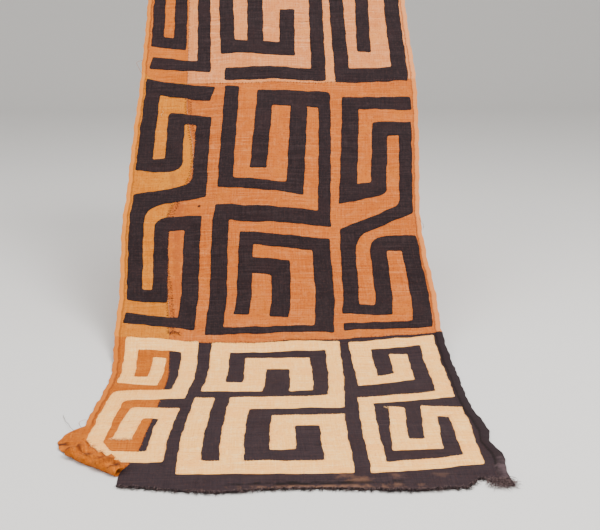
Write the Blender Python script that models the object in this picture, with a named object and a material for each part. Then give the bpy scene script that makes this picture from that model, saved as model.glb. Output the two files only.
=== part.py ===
"""A kuba raffia cloth that hangs from its top edge and trails forward on the floor.

Three panels are sewn one above the other, each with a narrow strip sewn on at its left.
Bands cut from a second cloth are applied on top of them in rows of meanders.
Every piece is first cut flat, then laid over one hanging form.
Flat places are (across, along): across runs from the middle line to the right, and along
runs up the cloth from its front edge. The origin is the middle of the top edge.
"""
import math

import bmesh
import bpy
from mathutils import Vector

# Whole cloth, in metres
WIDTH = 0.70
LENGTH = 1.82
GROUND_THICK = 0.0013
BAND_THICK = 0.0010
PLY_GAP = 0.0004
SEAM_GAP = 0.0004

# Hems, as width and height over the back of the cloth
HEM_WIDTH = 0.012
HEM_HEIGHT = 0.0030
BLACK_HEM_WIDTH = 0.015
BLACK_HEM_HEIGHT = 0.0045
TOP_HEM_WIDTH = 0.020
HEM_ROUND = 0.002
HEM_STEP = 0.0015
HEM_RIM_SHARE = 0.6

# Hanging form: flat on the floor, a long bend, then a straight slope to the top edge
FLOOR_LENGTH = 0.53
BEND_RADIUS = 0.40
SLOPE = math.radians(46.0)
BEND_LENGTH = BEND_RADIUS * SLOPE

# Lines along which the cloth bends
ACROSS_STEP = 0.0625
ACROSS_CELLS = 14
FLOOR_STEP = 0.10
BEND_STEP = BEND_LENGTH / 8
SLOPE_STEP = 0.075
BELOW_FRONT = -0.10

# How the sewn cloth departs from a straight one: where its two sides lie at each height
SIDES = (
    # along, left side, right side
    (-0.10, -0.352, 0.339),
    (0.00, -0.352, 0.339),
    (0.10, -0.355, 0.345),
    (0.20, -0.360, 0.344),
    (0.30, -0.356, 0.343),
    (0.40, -0.350, 0.344),
    (0.50, -0.346, 0.348),
    (0.60, -0.353, 0.350),
    (0.70, -0.361, 0.352),
    (0.80, -0.361, 0.356),
    (0.90, -0.364, 0.347),
    (1.00, -0.366, 0.341),
    (1.10, -0.360, 0.347),
    (1.20, -0.358, 0.356),
    (1.32, -0.352, 0.364),
    (1.45, -0.345, 0.367),
    (1.60, -0.341, 0.362),
    (2.00, -0.342, 0.360),
)

# Soft ripples of the hung part
RIPPLES = (
    # wavelength across, shift per metre of height, start, height
    (0.41, 0.10, 0.9, 0.0045),
    (0.66, -0.08, 2.4, 0.0050),
)
RIPPLE_START = 0.62
RIPPLE_RISE = 0.60
SIDE_WAVE_LENGTH = 0.46
SIDE_WAVE_HEIGHT = 0.0030

# Seams: the strip's seam runs up the cloth, and the panels' seams run across it
STRIP_SEAM = (
    # along, across
    (0.030, -0.268),
    (0.080, -0.266),
    (0.108, -0.256),
    (0.155, -0.244),
    (0.235, -0.237),
    (0.430, -0.235),
    (0.680, -0.234),
    (1.070, -0.231),
    (1.120, -0.209),
    (1.370, -0.228),
    (1.480, -0.232),
    (1.820, -0.238),
)
LOWER_SEAM = (
    # across, along
    (-0.350, 0.688),
    (-0.240, 0.675),
    (-0.170, 0.662),
    (0.000, 0.663),
    (0.150, 0.671),
    (0.350, 0.685),
)
UPPER_SEAM = (
    # across, along
    (-0.350, 1.476),
    (-0.325, 1.450),
    (-0.260, 1.433),
    (-0.210, 1.426),
    (0.000, 1.425),
    (0.150, 1.429),
    (0.350, 1.436),
)
FRONT_EDGE = (
    # across, along
    (-0.268, 0.030),
    (-0.230, 0.023),
    (-0.180, 0.012),
    (-0.105, 0.001),
    (-0.040, 0.009),
    (0.075, 0.007),
    (0.140, 0.001),
    (0.195, -0.005),
    (0.250, 0.000),
    (0.285, 0.009),
    (0.300, 0.031),
    (0.322, 0.019),
    (0.350, 0.003),
)

# Curled corner of the lower strip: the cloth past this line turns up and folds back over it
CURL_LEFT = (-0.358, 0.141)
CURL_RIGHT = (-0.269, 0.066)
CURL_RADIUS = 0.007
CURL_TURN = math.radians(187.0)
CURL_LENGTH_LEFT = 0.066
CURL_LENGTH_RIGHT = 0.042
CURL_STEPS = 7

# The lower strip's side bulges out behind the curl
BULGE = (
    # across, along
    (-0.350, 0.266),
    (-0.363, 0.250),
    (-0.376, 0.222),
    (-0.382, 0.198),
    (-0.373, 0.168),
)

# Applied bands, charted by hand in millimetres.
# A row is a corner of the band's middle line and the width of the run that starts there.
TOP_LEFT = ((-318, 1780, 32), (-316, 1575, 40), (-257, 1565, 34), (-259, 1765, 34),
            (-198, 1765, 34), (-192, 1482, 38), (-328, 1500, 38))
TOP_CENTRE = ((-138, 1455, 42), (100, 1455, 37), (105, 1775, 38), (-140, 1775, 38),
              (-132, 1545, 46), (22, 1540, 40), (26, 1680, 40))
TOP_CENTRE_LEG = ((-60, 1545, 42), (-60, 1715, 42))
TOP_RIGHT = ((222, 1530, 36), (232, 1775, 38), (312, 1775, 42), (308, 1453, 47),
             (160, 1450, 38), (160, 1775, 38))
MIDDLE_LEFT = ((-165, 1388, 44), (-316, 1422, 38), (-316, 1178, 40), (-245, 1175, 42),
               (-250, 1322, 30), (-182, 1305, 36), (-180, 1095, 44), (-317, 1070, 34),
               (-317, 813, 32), (-261, 807, 34), (-258, 1005, 40), (-186, 1003, 38),
               (-200, 727, 33), (-333, 745, 33))
MIDDLE_CENTRE = ((-42, 1155, 40), (-35, 1375, 50), (113, 1372, 30), (120, 1013, 44),
                 (-120, 1030, 38), (-140, 700, 22), (97, 705, 42), (107, 940, 34),
                 (-63, 958, 33), (-82, 750, 33))
MIDDLE_CENTRE_BAR = ((-118, 1412, 36), (-119, 1115, 30), (48, 1097, 42), (50, 1375, 42))
MIDDLE_CENTRE_HOOK = ((-70, 885, 42), (10, 878, 42), (0, 742, 42))
MIDDLE_RIGHT = ((333, 1360, 40), (178, 1360, 42), (175, 1082, 46), (248, 1098, 38),
                (250, 1278, 42), (313, 1280, 34), (315, 1035, 34), (172, 973, 35),
                (156, 763, 28), (229, 760, 38), (239, 943, 42), (313, 942, 42),
                (312, 715, 24), (140, 710, 24))
BOTTOM_LEFT = ((-253, 605, 28), (-263, 487, 44), (-318, 495, 28), (-312, 664, 40),
               (-190, 648, 34), (-204, 413, 50), (-318, 412, 30), (-319, 190, 28),
               (-297, 138, 42), (-215, 132, 30), (-208, 318, 52), (-268, 323, 34),
               (-275, 205, 34))
BOTTOM_CENTRE = ((34, 420, 46), (35, 572, 54), (-56, 572, 44), (-62, 446, 48),
                 (-140, 450, 40), (-126, 642, 36), (110, 645, 31), (100, 363, 60),
                 (-83, 363, 40), (-91, 90, 40))
BOTTOM_CENTRE_HOOK = ((-150, 393, 38), (-160, 90, 48), (83, 83, 46), (88, 277, 50),
                      (0, 276, 44), (-4, 152, 44))
BOTTOM_RIGHT = ((246, 610, 38), (242, 487, 42), (168, 469, 44), (167, 643, 32),
                (313, 659, 33), (312, 390, 34), (155, 365, 28), (146, 76, 38),
                (303, 98, 30), (316, 303, 48), (267, 310, 28), (250, 165, 45),
                (194, 164, 29), (210, 328, 29))

# Corners that were cut as curves, in millimetres. All other corners have the small round.
SMALL_ROUND = 4
SOFT_CORNERS = {
    # corner's across, along: outer radius, inner radius
    (-245, 1175): (30, SMALL_ROUND),
    (-250, 1322): (14, SMALL_ROUND),
    (-180, 1095): (SMALL_ROUND, 30),
    (-317, 1070): (SMALL_ROUND, 40),
    (-258, 1005): (38, SMALL_ROUND),
    (113, 1372): (14, SMALL_ROUND),
    (248, 1098): (18, SMALL_ROUND),
    (315, 1035): (SMALL_ROUND, 20),
    (172, 973): (SMALL_ROUND, 40),
    (239, 943): (44, SMALL_ROUND),
    (-318, 412): (24, 16),
    (-268, 323): (14, 12),
}
ROUND_SHARE = 0.42
ARC_TURN = 12

# sRGB colours seen on the cloth
BLACK = (0.235, 0.195, 0.205)
CREAM = (0.925, 0.780, 0.630)
PEACH = (0.865, 0.655, 0.505)
SALMON = (0.840, 0.560, 0.370)
OCHRE = (0.825, 0.545, 0.290)
TOP_ORANGE = (0.820, 0.515, 0.280)
DEEP_ORANGE = (0.800, 0.490, 0.245)

WELD = 0.00001
FLAT_ANGLE = 0.001


def table_value(table, key):
    """Read a table of rows (key, value, ...) at any key, straight between its rows."""
    for low, high in zip(table, table[1:]):
        if key <= high[0]:
            break
    share = (key - low[0]) / (high[0] - low[0])
    return [a + share * (b - a) for a, b in zip(low[1:], high[1:])]


def rise(value):
    """A smooth step from 0 to 1."""
    value = min(max(value, 0.0), 1.0)
    return value * value * (3.0 - 2.0 * value)


def hang_line(along):
    """How far back and up the cloth is at this height along it, and how steep it is there."""
    if along <= FLOOR_LENGTH:
        return along, 0.0, 0.0
    angle = min((along - FLOOR_LENGTH) / BEND_RADIUS, SLOPE)
    past = along - FLOOR_LENGTH - BEND_RADIUS * angle
    back = FLOOR_LENGTH + BEND_RADIUS * math.sin(angle) + past * math.cos(angle)
    up = BEND_RADIUS * (1.0 - math.cos(angle)) + past * math.sin(angle)
    return back, up, angle


def ripple(across, along):
    """Height of the soft ripples, none where the cloth lies on the floor."""
    grown = rise((along - RIPPLE_START) / RIPPLE_RISE)
    height = 0.0
    for wave, shift, start, tall in RIPPLES:
        height += tall * math.sin(math.tau * (across + shift * along) / wave + start)
    side = (2.0 * across / WIDTH) ** 2
    height += side * SIDE_WAVE_HEIGHT * math.sin(math.tau * along / SIDE_WAVE_LENGTH)
    return grown * height


def hang_point(across, along):
    """Where a point of the flat cloth's back hangs, and which way its face looks there."""
    left, right = table_value(SIDES, along)
    sideways = (left + right) / 2 + across * (right - left) / WIDTH
    back, up, angle = hang_line(along)
    out = Vector((0.0, -math.sin(angle), math.cos(angle)))
    return Vector((sideways, back, up)) + out * ripple(across, along), out


def bend_lines():
    """The lines that run across the cloth, where it bends, from front to top."""
    lines = [BELOW_FRONT]
    while lines[-1] + FLOOR_STEP < FLOOR_LENGTH:
        lines.append(lines[-1] + FLOOR_STEP)
    lines.append(FLOOR_LENGTH)
    while lines[-1] + BEND_STEP < FLOOR_LENGTH + BEND_LENGTH + BEND_STEP / 2:
        lines.append(lines[-1] + BEND_STEP)
    while lines[-1] < LENGTH:
        lines.append(lines[-1] + SLOPE_STEP)
    return lines


ALONG_LINES = bend_lines()
ACROSS_LINES = [ACROSS_STEP * (i - ACROSS_CELLS / 2) for i in range(ACROSS_CELLS + 1)]
FORM = [[hang_point(across, along) for across in ACROSS_LINES] for along in ALONG_LINES]


def cell(lines, value):
    """The cell of a value between sorted lines, and its share of the way through."""
    index = 0
    while index < len(lines) - 2 and value > lines[index + 1]:
        index += 1
    return index, (value - lines[index]) / (lines[index + 1] - lines[index])


def over_form(across, along, height):
    """Lay a point of a flat piece over the hanging form."""
    column, right = cell(ACROSS_LINES, across)
    row, up = cell(ALONG_LINES, along)
    total = Vector((0.0, 0.0, 0.0))
    for step_up, share_up in ((0, 1.0 - up), (1, up)):
        for step_right, share_right in ((0, 1.0 - right), (1, right)):
            place, out = FORM[row + step_up][column + step_right]
            total += (place + out * height) * share_up * share_right
    return total


ORIGIN = over_form(0.0, LENGTH, HEM_HEIGHT / 2)


def hung(across, along, height):
    """Where a point of a flat piece hangs, measured from the middle of the top edge."""
    return over_form(across, along, height) - ORIGIN


def flat_slab(outline, low, high):
    """Cut a flat piece of cloth to an outline, as a closed slab between two heights."""
    curve = bpy.data.curves.new("outline", "CURVE")
    curve.dimensions = "2D"
    curve.fill_mode = "BOTH"
    curve.extrude = (high - low) / 2
    spline = curve.splines.new("POLY")
    spline.points.add(len(outline) - 1)
    for point, (across, along) in zip(spline.points, outline):
        point.co = (across, along, 0.0, 1.0)
    spline.use_cyclic_u = True
    guide = bpy.data.objects.new("outline", curve)
    bpy.context.scene.collection.objects.link(guide)
    bpy.context.view_layer.update()
    depsgraph = bpy.context.evaluated_depsgraph_get()
    mesh = bpy.data.meshes.new_from_object(guide.evaluated_get(depsgraph))
    bpy.data.objects.remove(guide)
    slab = bmesh.new()
    slab.from_mesh(mesh)
    bpy.data.meshes.remove(mesh)
    bmesh.ops.remove_doubles(slab, verts=slab.verts, dist=WELD)
    bmesh.ops.translate(slab, verts=slab.verts, vec=(0.0, 0.0, (low + high) / 2))
    return slab


def joined(slabs):
    """Fuse overlapping flat slabs into one."""
    objects = []
    for slab in slabs:
        mesh = bpy.data.meshes.new("flat")
        slab.to_mesh(mesh)
        slab.free()
        objects.append(bpy.data.objects.new("flat", mesh))
        bpy.context.scene.collection.objects.link(objects[-1])
    for other in objects[1:]:
        union = objects[0].modifiers.new("union", "BOOLEAN")
        union.operation = "UNION"
        union.object = other
    bpy.context.view_layer.update()
    depsgraph = bpy.context.evaluated_depsgraph_get()
    mesh = bpy.data.meshes.new_from_object(objects[0].evaluated_get(depsgraph))
    for item in objects:
        bpy.data.objects.remove(item)
    whole = bmesh.new()
    whole.from_mesh(mesh)
    bpy.data.meshes.remove(mesh)
    bmesh.ops.remove_doubles(whole, verts=whole.verts, dist=WELD)
    return whole


def cut(slab, point, normal):
    """Add a line of points to a slab where a plane crosses it."""
    everything = slab.verts[:] + slab.edges[:] + slab.faces[:]
    bmesh.ops.bisect_plane(slab, geom=everything, dist=WELD, plane_co=point, plane_no=normal)


def cut_for_bends(slab):
    """Merge the flat faces, then cut the slab along each line where the form bends."""
    bmesh.ops.dissolve_limit(slab, angle_limit=FLAT_ANGLE, verts=slab.verts, edges=slab.edges)
    for across in ACROSS_LINES[1:-1]:
        cut(slab, (across, 0.0, 0.0), (1.0, 0.0, 0.0))
    for along in ALONG_LINES[1:-1]:
        cut(slab, (0.0, along, 0.0), (0.0, 1.0, 0.0))


def hem_lift(distance, width, height):
    """Height of a rolled hem's top at a distance in from the edge, or None off the hem."""
    if not -HEM_STEP / 2 < distance < width + HEM_STEP / 2:
        return None
    if distance < HEM_ROUND / 2:
        return height * HEM_RIM_SHARE
    return height


def raise_side_hem(slab, side, width, height):
    """Roll the slab's edge at one side of the cloth into a thicker hem."""
    edge = side * WIDTH / 2
    for inside in (HEM_ROUND, width, width + HEM_STEP):
        cut(slab, (edge - side * inside, 0.0, 0.0), (1.0, 0.0, 0.0))
    for vert in slab.verts:
        lift = hem_lift(side * (edge - vert.co.x), width, height)
        if lift and vert.co.z > GROUND_THICK / 2:
            vert.co.z = lift


def raise_top_hem(slab):
    """Turn the top edge down into a hem, thicker than the cloth."""
    for below in (TOP_HEM_WIDTH, TOP_HEM_WIDTH + HEM_STEP):
        cut(slab, (0.0, LENGTH - below, 0.0), (0.0, 1.0, 0.0))
    for vert in slab.verts:
        if vert.co.y > LENGTH - TOP_HEM_WIDTH - HEM_STEP / 2 and vert.co.z > GROUND_THICK / 2:
            vert.co.z = HEM_HEIGHT


def material(name, colour, roughness):
    """Dyed raffia of one colour."""
    made = bpy.data.materials.new(name)
    made.use_nodes = True
    shader = made.node_tree.nodes["Principled BSDF"]
    linear = [((c + 0.055) / 1.055) ** 2.4 for c in colour]
    shader.inputs["Base Color"].default_value = (*linear, 1.0)
    shader.inputs["Roughness"].default_value = roughness
    made.diffuse_color = (*linear, 1.0)
    return made


def hang_piece(name, slab, collection, colour, lay=hung):
    """Lay a cut slab over the form and make it an object of its own."""
    for vert in slab.verts:
        vert.co = lay(*vert.co)
    bmesh.ops.triangulate(slab, faces=slab.faces)
    bmesh.ops.recalc_face_normals(slab, faces=slab.faces)
    mesh = bpy.data.meshes.new(name)
    slab.to_mesh(mesh)
    slab.free()
    mesh.materials.append(material(name + "_raffia", colour, 0.9))
    piece = bpy.data.objects.new(name, mesh)
    collection.objects.link(piece)
    return piece


def seam_part(table, low, high):
    """The part of a seam from one key to another, with a point at both ends."""
    inside = [row for row in table if low < row[0] < high]
    ends = [(key, table_value(table, key)[0]) for key in (low, high)]
    return [ends[0]] + inside + [ends[1]]


def seam_crossing(across_seam):
    """Where the strip's seam meets a seam that runs across: its height along the cloth."""
    along = table_value(across_seam, STRIP_SEAM[0][1])[0]
    across = table_value(STRIP_SEAM, along)[0]
    return table_value(across_seam, across)[0]


def strip_side(low, high, shift):
    """The strip's seam from low to high, as (across, along), moved sideways."""
    return [(across + shift, along) for along, across in seam_part(STRIP_SEAM, low, high)]


def cross_side(seam, low, high, shift):
    """A seam that runs across from low to high, as (across, along), moved up or down."""
    return [(across, along + shift) for across, along in seam_part(seam, low, high)]


def top_edge():
    """The straight top edge as a seam of two rows."""
    return ((-WIDTH / 2, LENGTH), (WIDTH / 2, LENGTH))


def panel_outline(lower, upper, lower_shift, upper_shift):
    """A wide panel: strip seam at its left, the cloth's side at its right."""
    half = SEAM_GAP / 2
    low, high = seam_crossing(lower), seam_crossing(upper)
    low_left = table_value(STRIP_SEAM, low)[0] + half
    high_left = table_value(STRIP_SEAM, high)[0] + half
    bottom = cross_side(lower, low_left, WIDTH / 2, lower_shift)
    left = strip_side(low, high, half)[1:-1]
    top = cross_side(upper, high_left, WIDTH / 2, upper_shift)
    return bottom + top[::-1] + left[::-1]


def strip_outline(lower, upper, lower_shift, upper_shift):
    """A narrow strip: the cloth's side at its left, the strip seam at its right."""
    half = SEAM_GAP / 2
    low, high = seam_crossing(lower), seam_crossing(upper)
    low_right = table_value(STRIP_SEAM, low)[0] - half
    high_right = table_value(STRIP_SEAM, high)[0] - half
    bottom = cross_side(lower, -WIDTH / 2, low_right, lower_shift)
    right = strip_side(low, high, -half)[1:-1]
    top = cross_side(upper, -WIDTH / 2, high_right, upper_shift)
    return bottom + right + top[::-1]


def curl_frame():
    """The curl line's start, its direction, and the direction past it on the floor."""
    start = Vector(CURL_LEFT)
    run = (Vector(CURL_RIGHT) - start).normalized()
    return start, run, Vector((run.y, -run.x))


def lower_strip_outline():
    """The lower strip with its bulge and the flap that curls up at its corner."""
    half = SEAM_GAP / 2
    _, _, past = curl_frame()
    flap_left = Vector(CURL_LEFT) + past * CURL_LENGTH_LEFT
    flap_right = Vector(CURL_RIGHT) + past * CURL_LENGTH_RIGHT
    high = seam_crossing(LOWER_SEAM)
    high_right = table_value(STRIP_SEAM, high)[0] - half
    right = strip_side(CURL_RIGHT[1], high, -half)[1:-1]
    top = cross_side(LOWER_SEAM, -WIDTH / 2, high_right, -half)
    flap = [CURL_LEFT, tuple(flap_left), tuple(flap_right), CURL_RIGHT]
    return list(BULGE) + flap + right + top[::-1]


def lower_panel_outline():
    """The lower panel with its uneven front edge."""
    half = SEAM_GAP / 2
    high = seam_crossing(LOWER_SEAM)
    high_left = table_value(STRIP_SEAM, high)[0] + half
    left = strip_side(FRONT_EDGE[0][1], high, half)[1:-1]
    top = cross_side(LOWER_SEAM, high_left, WIDTH / 2, -half)
    return list(FRONT_EDGE) + top[::-1] + left[::-1]


def curled(across, along, height):
    """Lay the lower strip: past the curl line it turns up and folds back, top side inwards."""
    start, run, past = curl_frame()
    offset = Vector((across, along)) - start
    beyond = offset.dot(past)
    if beyond <= 0.0:
        return hung(across, along, height)
    angle = min(beyond / CURL_RADIUS, CURL_TURN)
    straight = beyond - CURL_RADIUS * angle
    radius = CURL_RADIUS - height
    reach = radius * math.sin(angle) + straight * math.cos(angle)
    spot = start + run * offset.dot(run) + past * reach
    place = hung(spot.x, spot.y, 0.0)
    place.z += CURL_RADIUS - radius * math.cos(angle) + straight * math.sin(angle)
    return place


def band_corner(before, corner, after, width_in, width_out, side):
    """The corner of a band's edge at one side of its middle line, given the two runs' widths."""
    run_in = (corner - before).normalized()
    run_out = (after - corner).normalized()
    out_in = Vector((-run_in.y, run_in.x)) * side * width_in / 2
    out_out = Vector((-run_out.y, run_out.x)) * side * width_out / 2
    start, finish = corner + out_in, corner + out_out
    turn = run_in.x * run_out.y - run_in.y * run_out.x
    reach = ((finish - start).x * run_out.y - (finish - start).y * run_out.x) / turn
    return start + run_in * reach


def band_edges(rows):
    """A band's outline from its chart, as points with the radius of each corner."""
    points = [Vector((across, along)) / 1000 for across, along, _ in rows]
    widths = [width / 1000 for _, _, width in rows[:-1]]
    outline = []
    for side in (1, -1):
        edge = []
        for i, point in enumerate(points):
            if 0 < i < len(points) - 1:
                place = band_corner(points[i - 1], point, points[i + 1],
                                    widths[i - 1], widths[i], side)
                turn = (point - points[i - 1]).cross(points[i + 1] - point)
                outer, inner = SOFT_CORNERS.get(rows[i][:2], (SMALL_ROUND, SMALL_ROUND))
                edge.append((place, (inner if side * turn > 0 else outer) / 1000))
                continue
            run = (points[1] - point) if i == 0 else (point - points[-2])
            run.normalize()
            width = widths[0] if i == 0 else widths[-1]
            place = point + Vector((-run.y, run.x)) * side * width / 2
            edge.append((place, SMALL_ROUND / 1000))
        outline += edge[::side]
    return outline


def rounded(outline):
    """An outline whose corners are arcs, each of its own radius in the small space there."""
    result = []
    for i, (corner, radius) in enumerate(outline):
        before = outline[i - 1][0] - corner
        after = outline[(i + 1) % len(outline)][0] - corner
        reach = min(radius, ROUND_SHARE * min(before.length, after.length))
        start = corner + before.normalized() * reach
        finish = corner + after.normalized() * reach
        steps = 2 + round(reach * 1000 / ARC_TURN)
        for step in range(steps + 1):
            share = step / steps
            result.append(start * (1 - share) ** 2 + corner * 2 * share * (1 - share)
                          + finish * share ** 2)
    return result


def make_panels(collection):
    """The six ground pieces, sewn edge to edge."""
    half = SEAM_GAP / 2
    rows = (
        # name, lower seam, upper seam, panel colour, strip colour
        ("middle", LOWER_SEAM, UPPER_SEAM, SALMON, OCHRE),
        ("top", UPPER_SEAM, top_edge(), PEACH, TOP_ORANGE),
    )
    for name, lower, upper, panel_colour, strip_colour in rows:
        upper_shift = 0.0 if name == "top" else -half
        panel = panel_outline(lower, upper, half, upper_shift)
        strip = strip_outline(lower, upper, half, upper_shift)
        for kind, outline, side, colour in (
            ("panel", panel, 1, panel_colour),
            ("strip", strip, -1, strip_colour),
        ):
            slab = flat_slab(outline, 0.0, GROUND_THICK)
            cut_for_bends(slab)
            raise_side_hem(slab, side, HEM_WIDTH, HEM_HEIGHT)
            if name == "top":
                raise_top_hem(slab)
            hang_piece(name + "_" + kind, slab, collection, colour)
    slab = flat_slab(lower_panel_outline(), 0.0, GROUND_THICK)
    cut_for_bends(slab)
    raise_side_hem(slab, 1, BLACK_HEM_WIDTH, BLACK_HEM_HEIGHT)
    hang_piece("bottom_panel", slab, collection, BLACK)
    make_lower_strip(collection)


def make_lower_strip(collection):
    """The lower strip, whose front corner is curled."""
    slab = flat_slab(lower_strip_outline(), 0.0, GROUND_THICK)
    cut_for_bends(slab)
    raise_side_hem(slab, -1, HEM_WIDTH, HEM_HEIGHT)
    start, _, past = curl_frame()
    for step in range(CURL_STEPS + 1):
        point = start + past * CURL_RADIUS * CURL_TURN * step / CURL_STEPS
        cut(slab, (point.x, point.y, 0.0), (past.x, past.y, 0.0))
    hang_piece("bottom_strip", slab, collection, DEEP_ORANGE, curled)


def make_bands(collection):
    """The nine applied bands, each cut in one piece and laid over the panels."""
    rows = (
        # name, charts that make up the piece, colour
        ("top_left_band", (TOP_LEFT,), BLACK),
        ("top_centre_band", (TOP_CENTRE, TOP_CENTRE_LEG), BLACK),
        ("top_right_band", (TOP_RIGHT,), BLACK),
        ("middle_left_band", (MIDDLE_LEFT,), BLACK),
        ("middle_centre_band", (MIDDLE_CENTRE, MIDDLE_CENTRE_BAR, MIDDLE_CENTRE_HOOK), BLACK),
        ("middle_right_band", (MIDDLE_RIGHT,), BLACK),
        ("bottom_left_band", (BOTTOM_LEFT,), CREAM),
        ("bottom_centre_band", (BOTTOM_CENTRE, BOTTOM_CENTRE_HOOK), CREAM),
        ("bottom_right_band", (BOTTOM_RIGHT,), CREAM),
    )
    low = GROUND_THICK + PLY_GAP
    for name, charts, colour in rows:
        slabs = [
            flat_slab(rounded(band_edges(chart)), low, low + BAND_THICK)
            for chart in charts
        ]
        slab = joined(slabs) if len(slabs) > 1 else slabs[0]
        cut_for_bends(slab)
        hang_piece(name, slab, collection, colour)


for old in list(bpy.data.objects):
    bpy.data.objects.remove(old)
cloth = bpy.data.collections.new("kuba_raffia_cloth")
bpy.context.scene.collection.children.link(cloth)
make_panels(cloth)
make_bands(cloth)
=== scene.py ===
# %% [markdown]
# # A kuba raffia cloth, hung by its top edge and trailing on the floor
#
# The cloth is woven from strips of raffia palm leaf. Three panels are sewn one above the other,
# each has a narrow strip sewn on at its left, and bands cut from a second cloth are sewn on top
# in meanders. The frame holds the plain solids. This script lays a finer cloth over each of them.

# %% The frame
import math

import bpy
import numpy as np
from mathutils.geometry import delaunay_2d_cdt
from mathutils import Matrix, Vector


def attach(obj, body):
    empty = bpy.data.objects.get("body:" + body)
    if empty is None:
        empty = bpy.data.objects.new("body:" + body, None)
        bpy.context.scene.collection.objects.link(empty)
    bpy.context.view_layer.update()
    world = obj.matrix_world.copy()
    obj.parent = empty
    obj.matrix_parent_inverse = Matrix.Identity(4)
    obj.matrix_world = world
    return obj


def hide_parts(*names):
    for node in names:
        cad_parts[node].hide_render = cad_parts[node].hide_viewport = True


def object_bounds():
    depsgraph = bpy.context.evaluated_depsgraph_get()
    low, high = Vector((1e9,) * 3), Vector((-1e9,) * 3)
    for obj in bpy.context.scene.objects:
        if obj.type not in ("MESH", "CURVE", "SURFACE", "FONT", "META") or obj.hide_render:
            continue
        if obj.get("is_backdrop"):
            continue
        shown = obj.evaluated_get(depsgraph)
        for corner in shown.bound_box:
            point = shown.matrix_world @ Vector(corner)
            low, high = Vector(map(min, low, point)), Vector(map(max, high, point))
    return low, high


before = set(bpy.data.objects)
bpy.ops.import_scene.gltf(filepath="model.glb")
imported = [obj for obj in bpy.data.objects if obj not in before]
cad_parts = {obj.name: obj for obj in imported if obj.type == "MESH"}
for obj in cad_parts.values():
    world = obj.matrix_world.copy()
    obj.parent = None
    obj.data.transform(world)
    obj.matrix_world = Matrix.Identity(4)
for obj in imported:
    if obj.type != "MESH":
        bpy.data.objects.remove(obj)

cad_low, cad_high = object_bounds()
FLOOR_Z = cad_low.z
print("nodes:", len(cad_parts), "floor at", round(FLOOR_Z, 4))

# %% [markdown]
# ## The hanging form
#
# Every piece was cut flat, so it is also drawn flat here: across runs from the middle line to the
# right, along runs up the cloth from its front edge, and height is over the cloth's back. One
# function then lays all flat points over the form in which the cloth hangs. Drawing flat and
# laying afterwards keeps the weave, the stitches and the pieces together wherever the cloth bends.

# %% Sizes of the hung cloth, the same as in the part
WIDTH = 0.70
LENGTH = 1.82
FLOOR_LENGTH = 0.53
BEND_RADIUS = 0.40
SLOPE = math.radians(46.0)
GROUND_THICK = 0.0013
BAND_THICK = 0.0010
PLY_GAP = 0.0004
SEAM_GAP = 0.0004

SIDES = np.array((
    # along, left side, right side
    (-0.10, -0.352, 0.339),
    (0.00, -0.352, 0.339),
    (0.10, -0.355, 0.345),
    (0.20, -0.360, 0.344),
    (0.30, -0.356, 0.343),
    (0.40, -0.350, 0.344),
    (0.50, -0.346, 0.348),
    (0.60, -0.353, 0.350),
    (0.70, -0.361, 0.352),
    (0.80, -0.361, 0.356),
    (0.90, -0.364, 0.347),
    (1.00, -0.366, 0.341),
    (1.10, -0.360, 0.347),
    (1.20, -0.358, 0.356),
    (1.32, -0.352, 0.364),
    (1.45, -0.345, 0.367),
    (1.60, -0.341, 0.362),
    (2.00, -0.342, 0.360),
))
RIPPLES = (
    # wavelength across, shift per metre of height, start, height
    (0.41, 0.10, 0.9, 0.0045),
    (0.66, -0.08, 2.4, 0.0050),
)
RIPPLE_START = 0.62
RIPPLE_RISE = 0.60
SIDE_WAVE_LENGTH = 0.46
SIDE_WAVE_HEIGHT = 0.0030


def smooth_table(table, key):
    """Read the columns of a table at any key, on a smooth curve through its rows."""
    table = np.asarray(table, float)
    keys, values = table[:, 0], table[:, 1:]
    slopes = np.gradient(values, keys, axis=0)
    key = np.clip(np.asarray(key, float), keys[0], keys[-1])
    row = np.clip(np.searchsorted(keys, key) - 1, 0, len(keys) - 2)
    step = (keys[row + 1] - keys[row])[..., None]
    t = (key - keys[row])[..., None] / step
    rising = t * t * (3 - 2 * t)
    return (values[row] * (1 - rising) + values[row + 1] * rising
            + slopes[row] * step * t * (1 - t) ** 2 - slopes[row + 1] * step * t * t * (1 - t))


def soft_step(value):
    """A smooth step from 0 to 1."""
    value = np.clip(value, 0.0, 1.0)
    return value * value * (3 - 2 * value)


# %% [markdown]
# Raffia cloth never lies quite even. Sewing draws it in, and old folds stay as faint lines. The
# large ripples are the part's own. The small cockle is a sum of waves in many directions, which
# is quick to work out for a hundred thousand points and is the same on every layer of cloth.

# %% Unevenness
COCKLE_WAVES = 26
COCKLE_LONGEST = 0.19
COCKLE_SHORTEST = 0.022
COCKLE_SHARE = 0.0042
FOLD_LINES = (
    # along at the left side, along at the right side, depth, half width
    (0.278, 0.246, 0.0012, 0.0042),
    (0.572, 0.549, 0.0010, 0.0045),
    (0.402, 0.398, -0.0006, 0.0060),
    (0.930, 0.925, 0.0009, 0.0055),
    (1.232, 1.240, 0.0008, 0.0050),
)
LONG_FOLD = (-0.097, 0.0008, 0.0050)
LONG_FOLD_ENDS = (0.25, 0.80)
LONG_FOLD_FADE = 0.06
CRUMPLE_MIDDLE = (-0.345, 0.160)
CRUMPLE_REACH = 0.042
CRUMPLE_HEIGHT = 0.0036
CRUMPLE_LEVEL = 0.55
CRUMPLE_SHARE = 0.75
CRUMPLE_WAVES = ((210, 60, 0.0), (-90, 170, 0.8))
LIFT_START = FLOOR_LENGTH - 0.05
LIFT_RUN = 0.25
RESTING_SHARE = 0.7
HEM_STRAY_REACH = 0.040
HEM_WAVES = ((0.0009, 95, 1.0), (0.0006, 213, 0.0))
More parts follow.
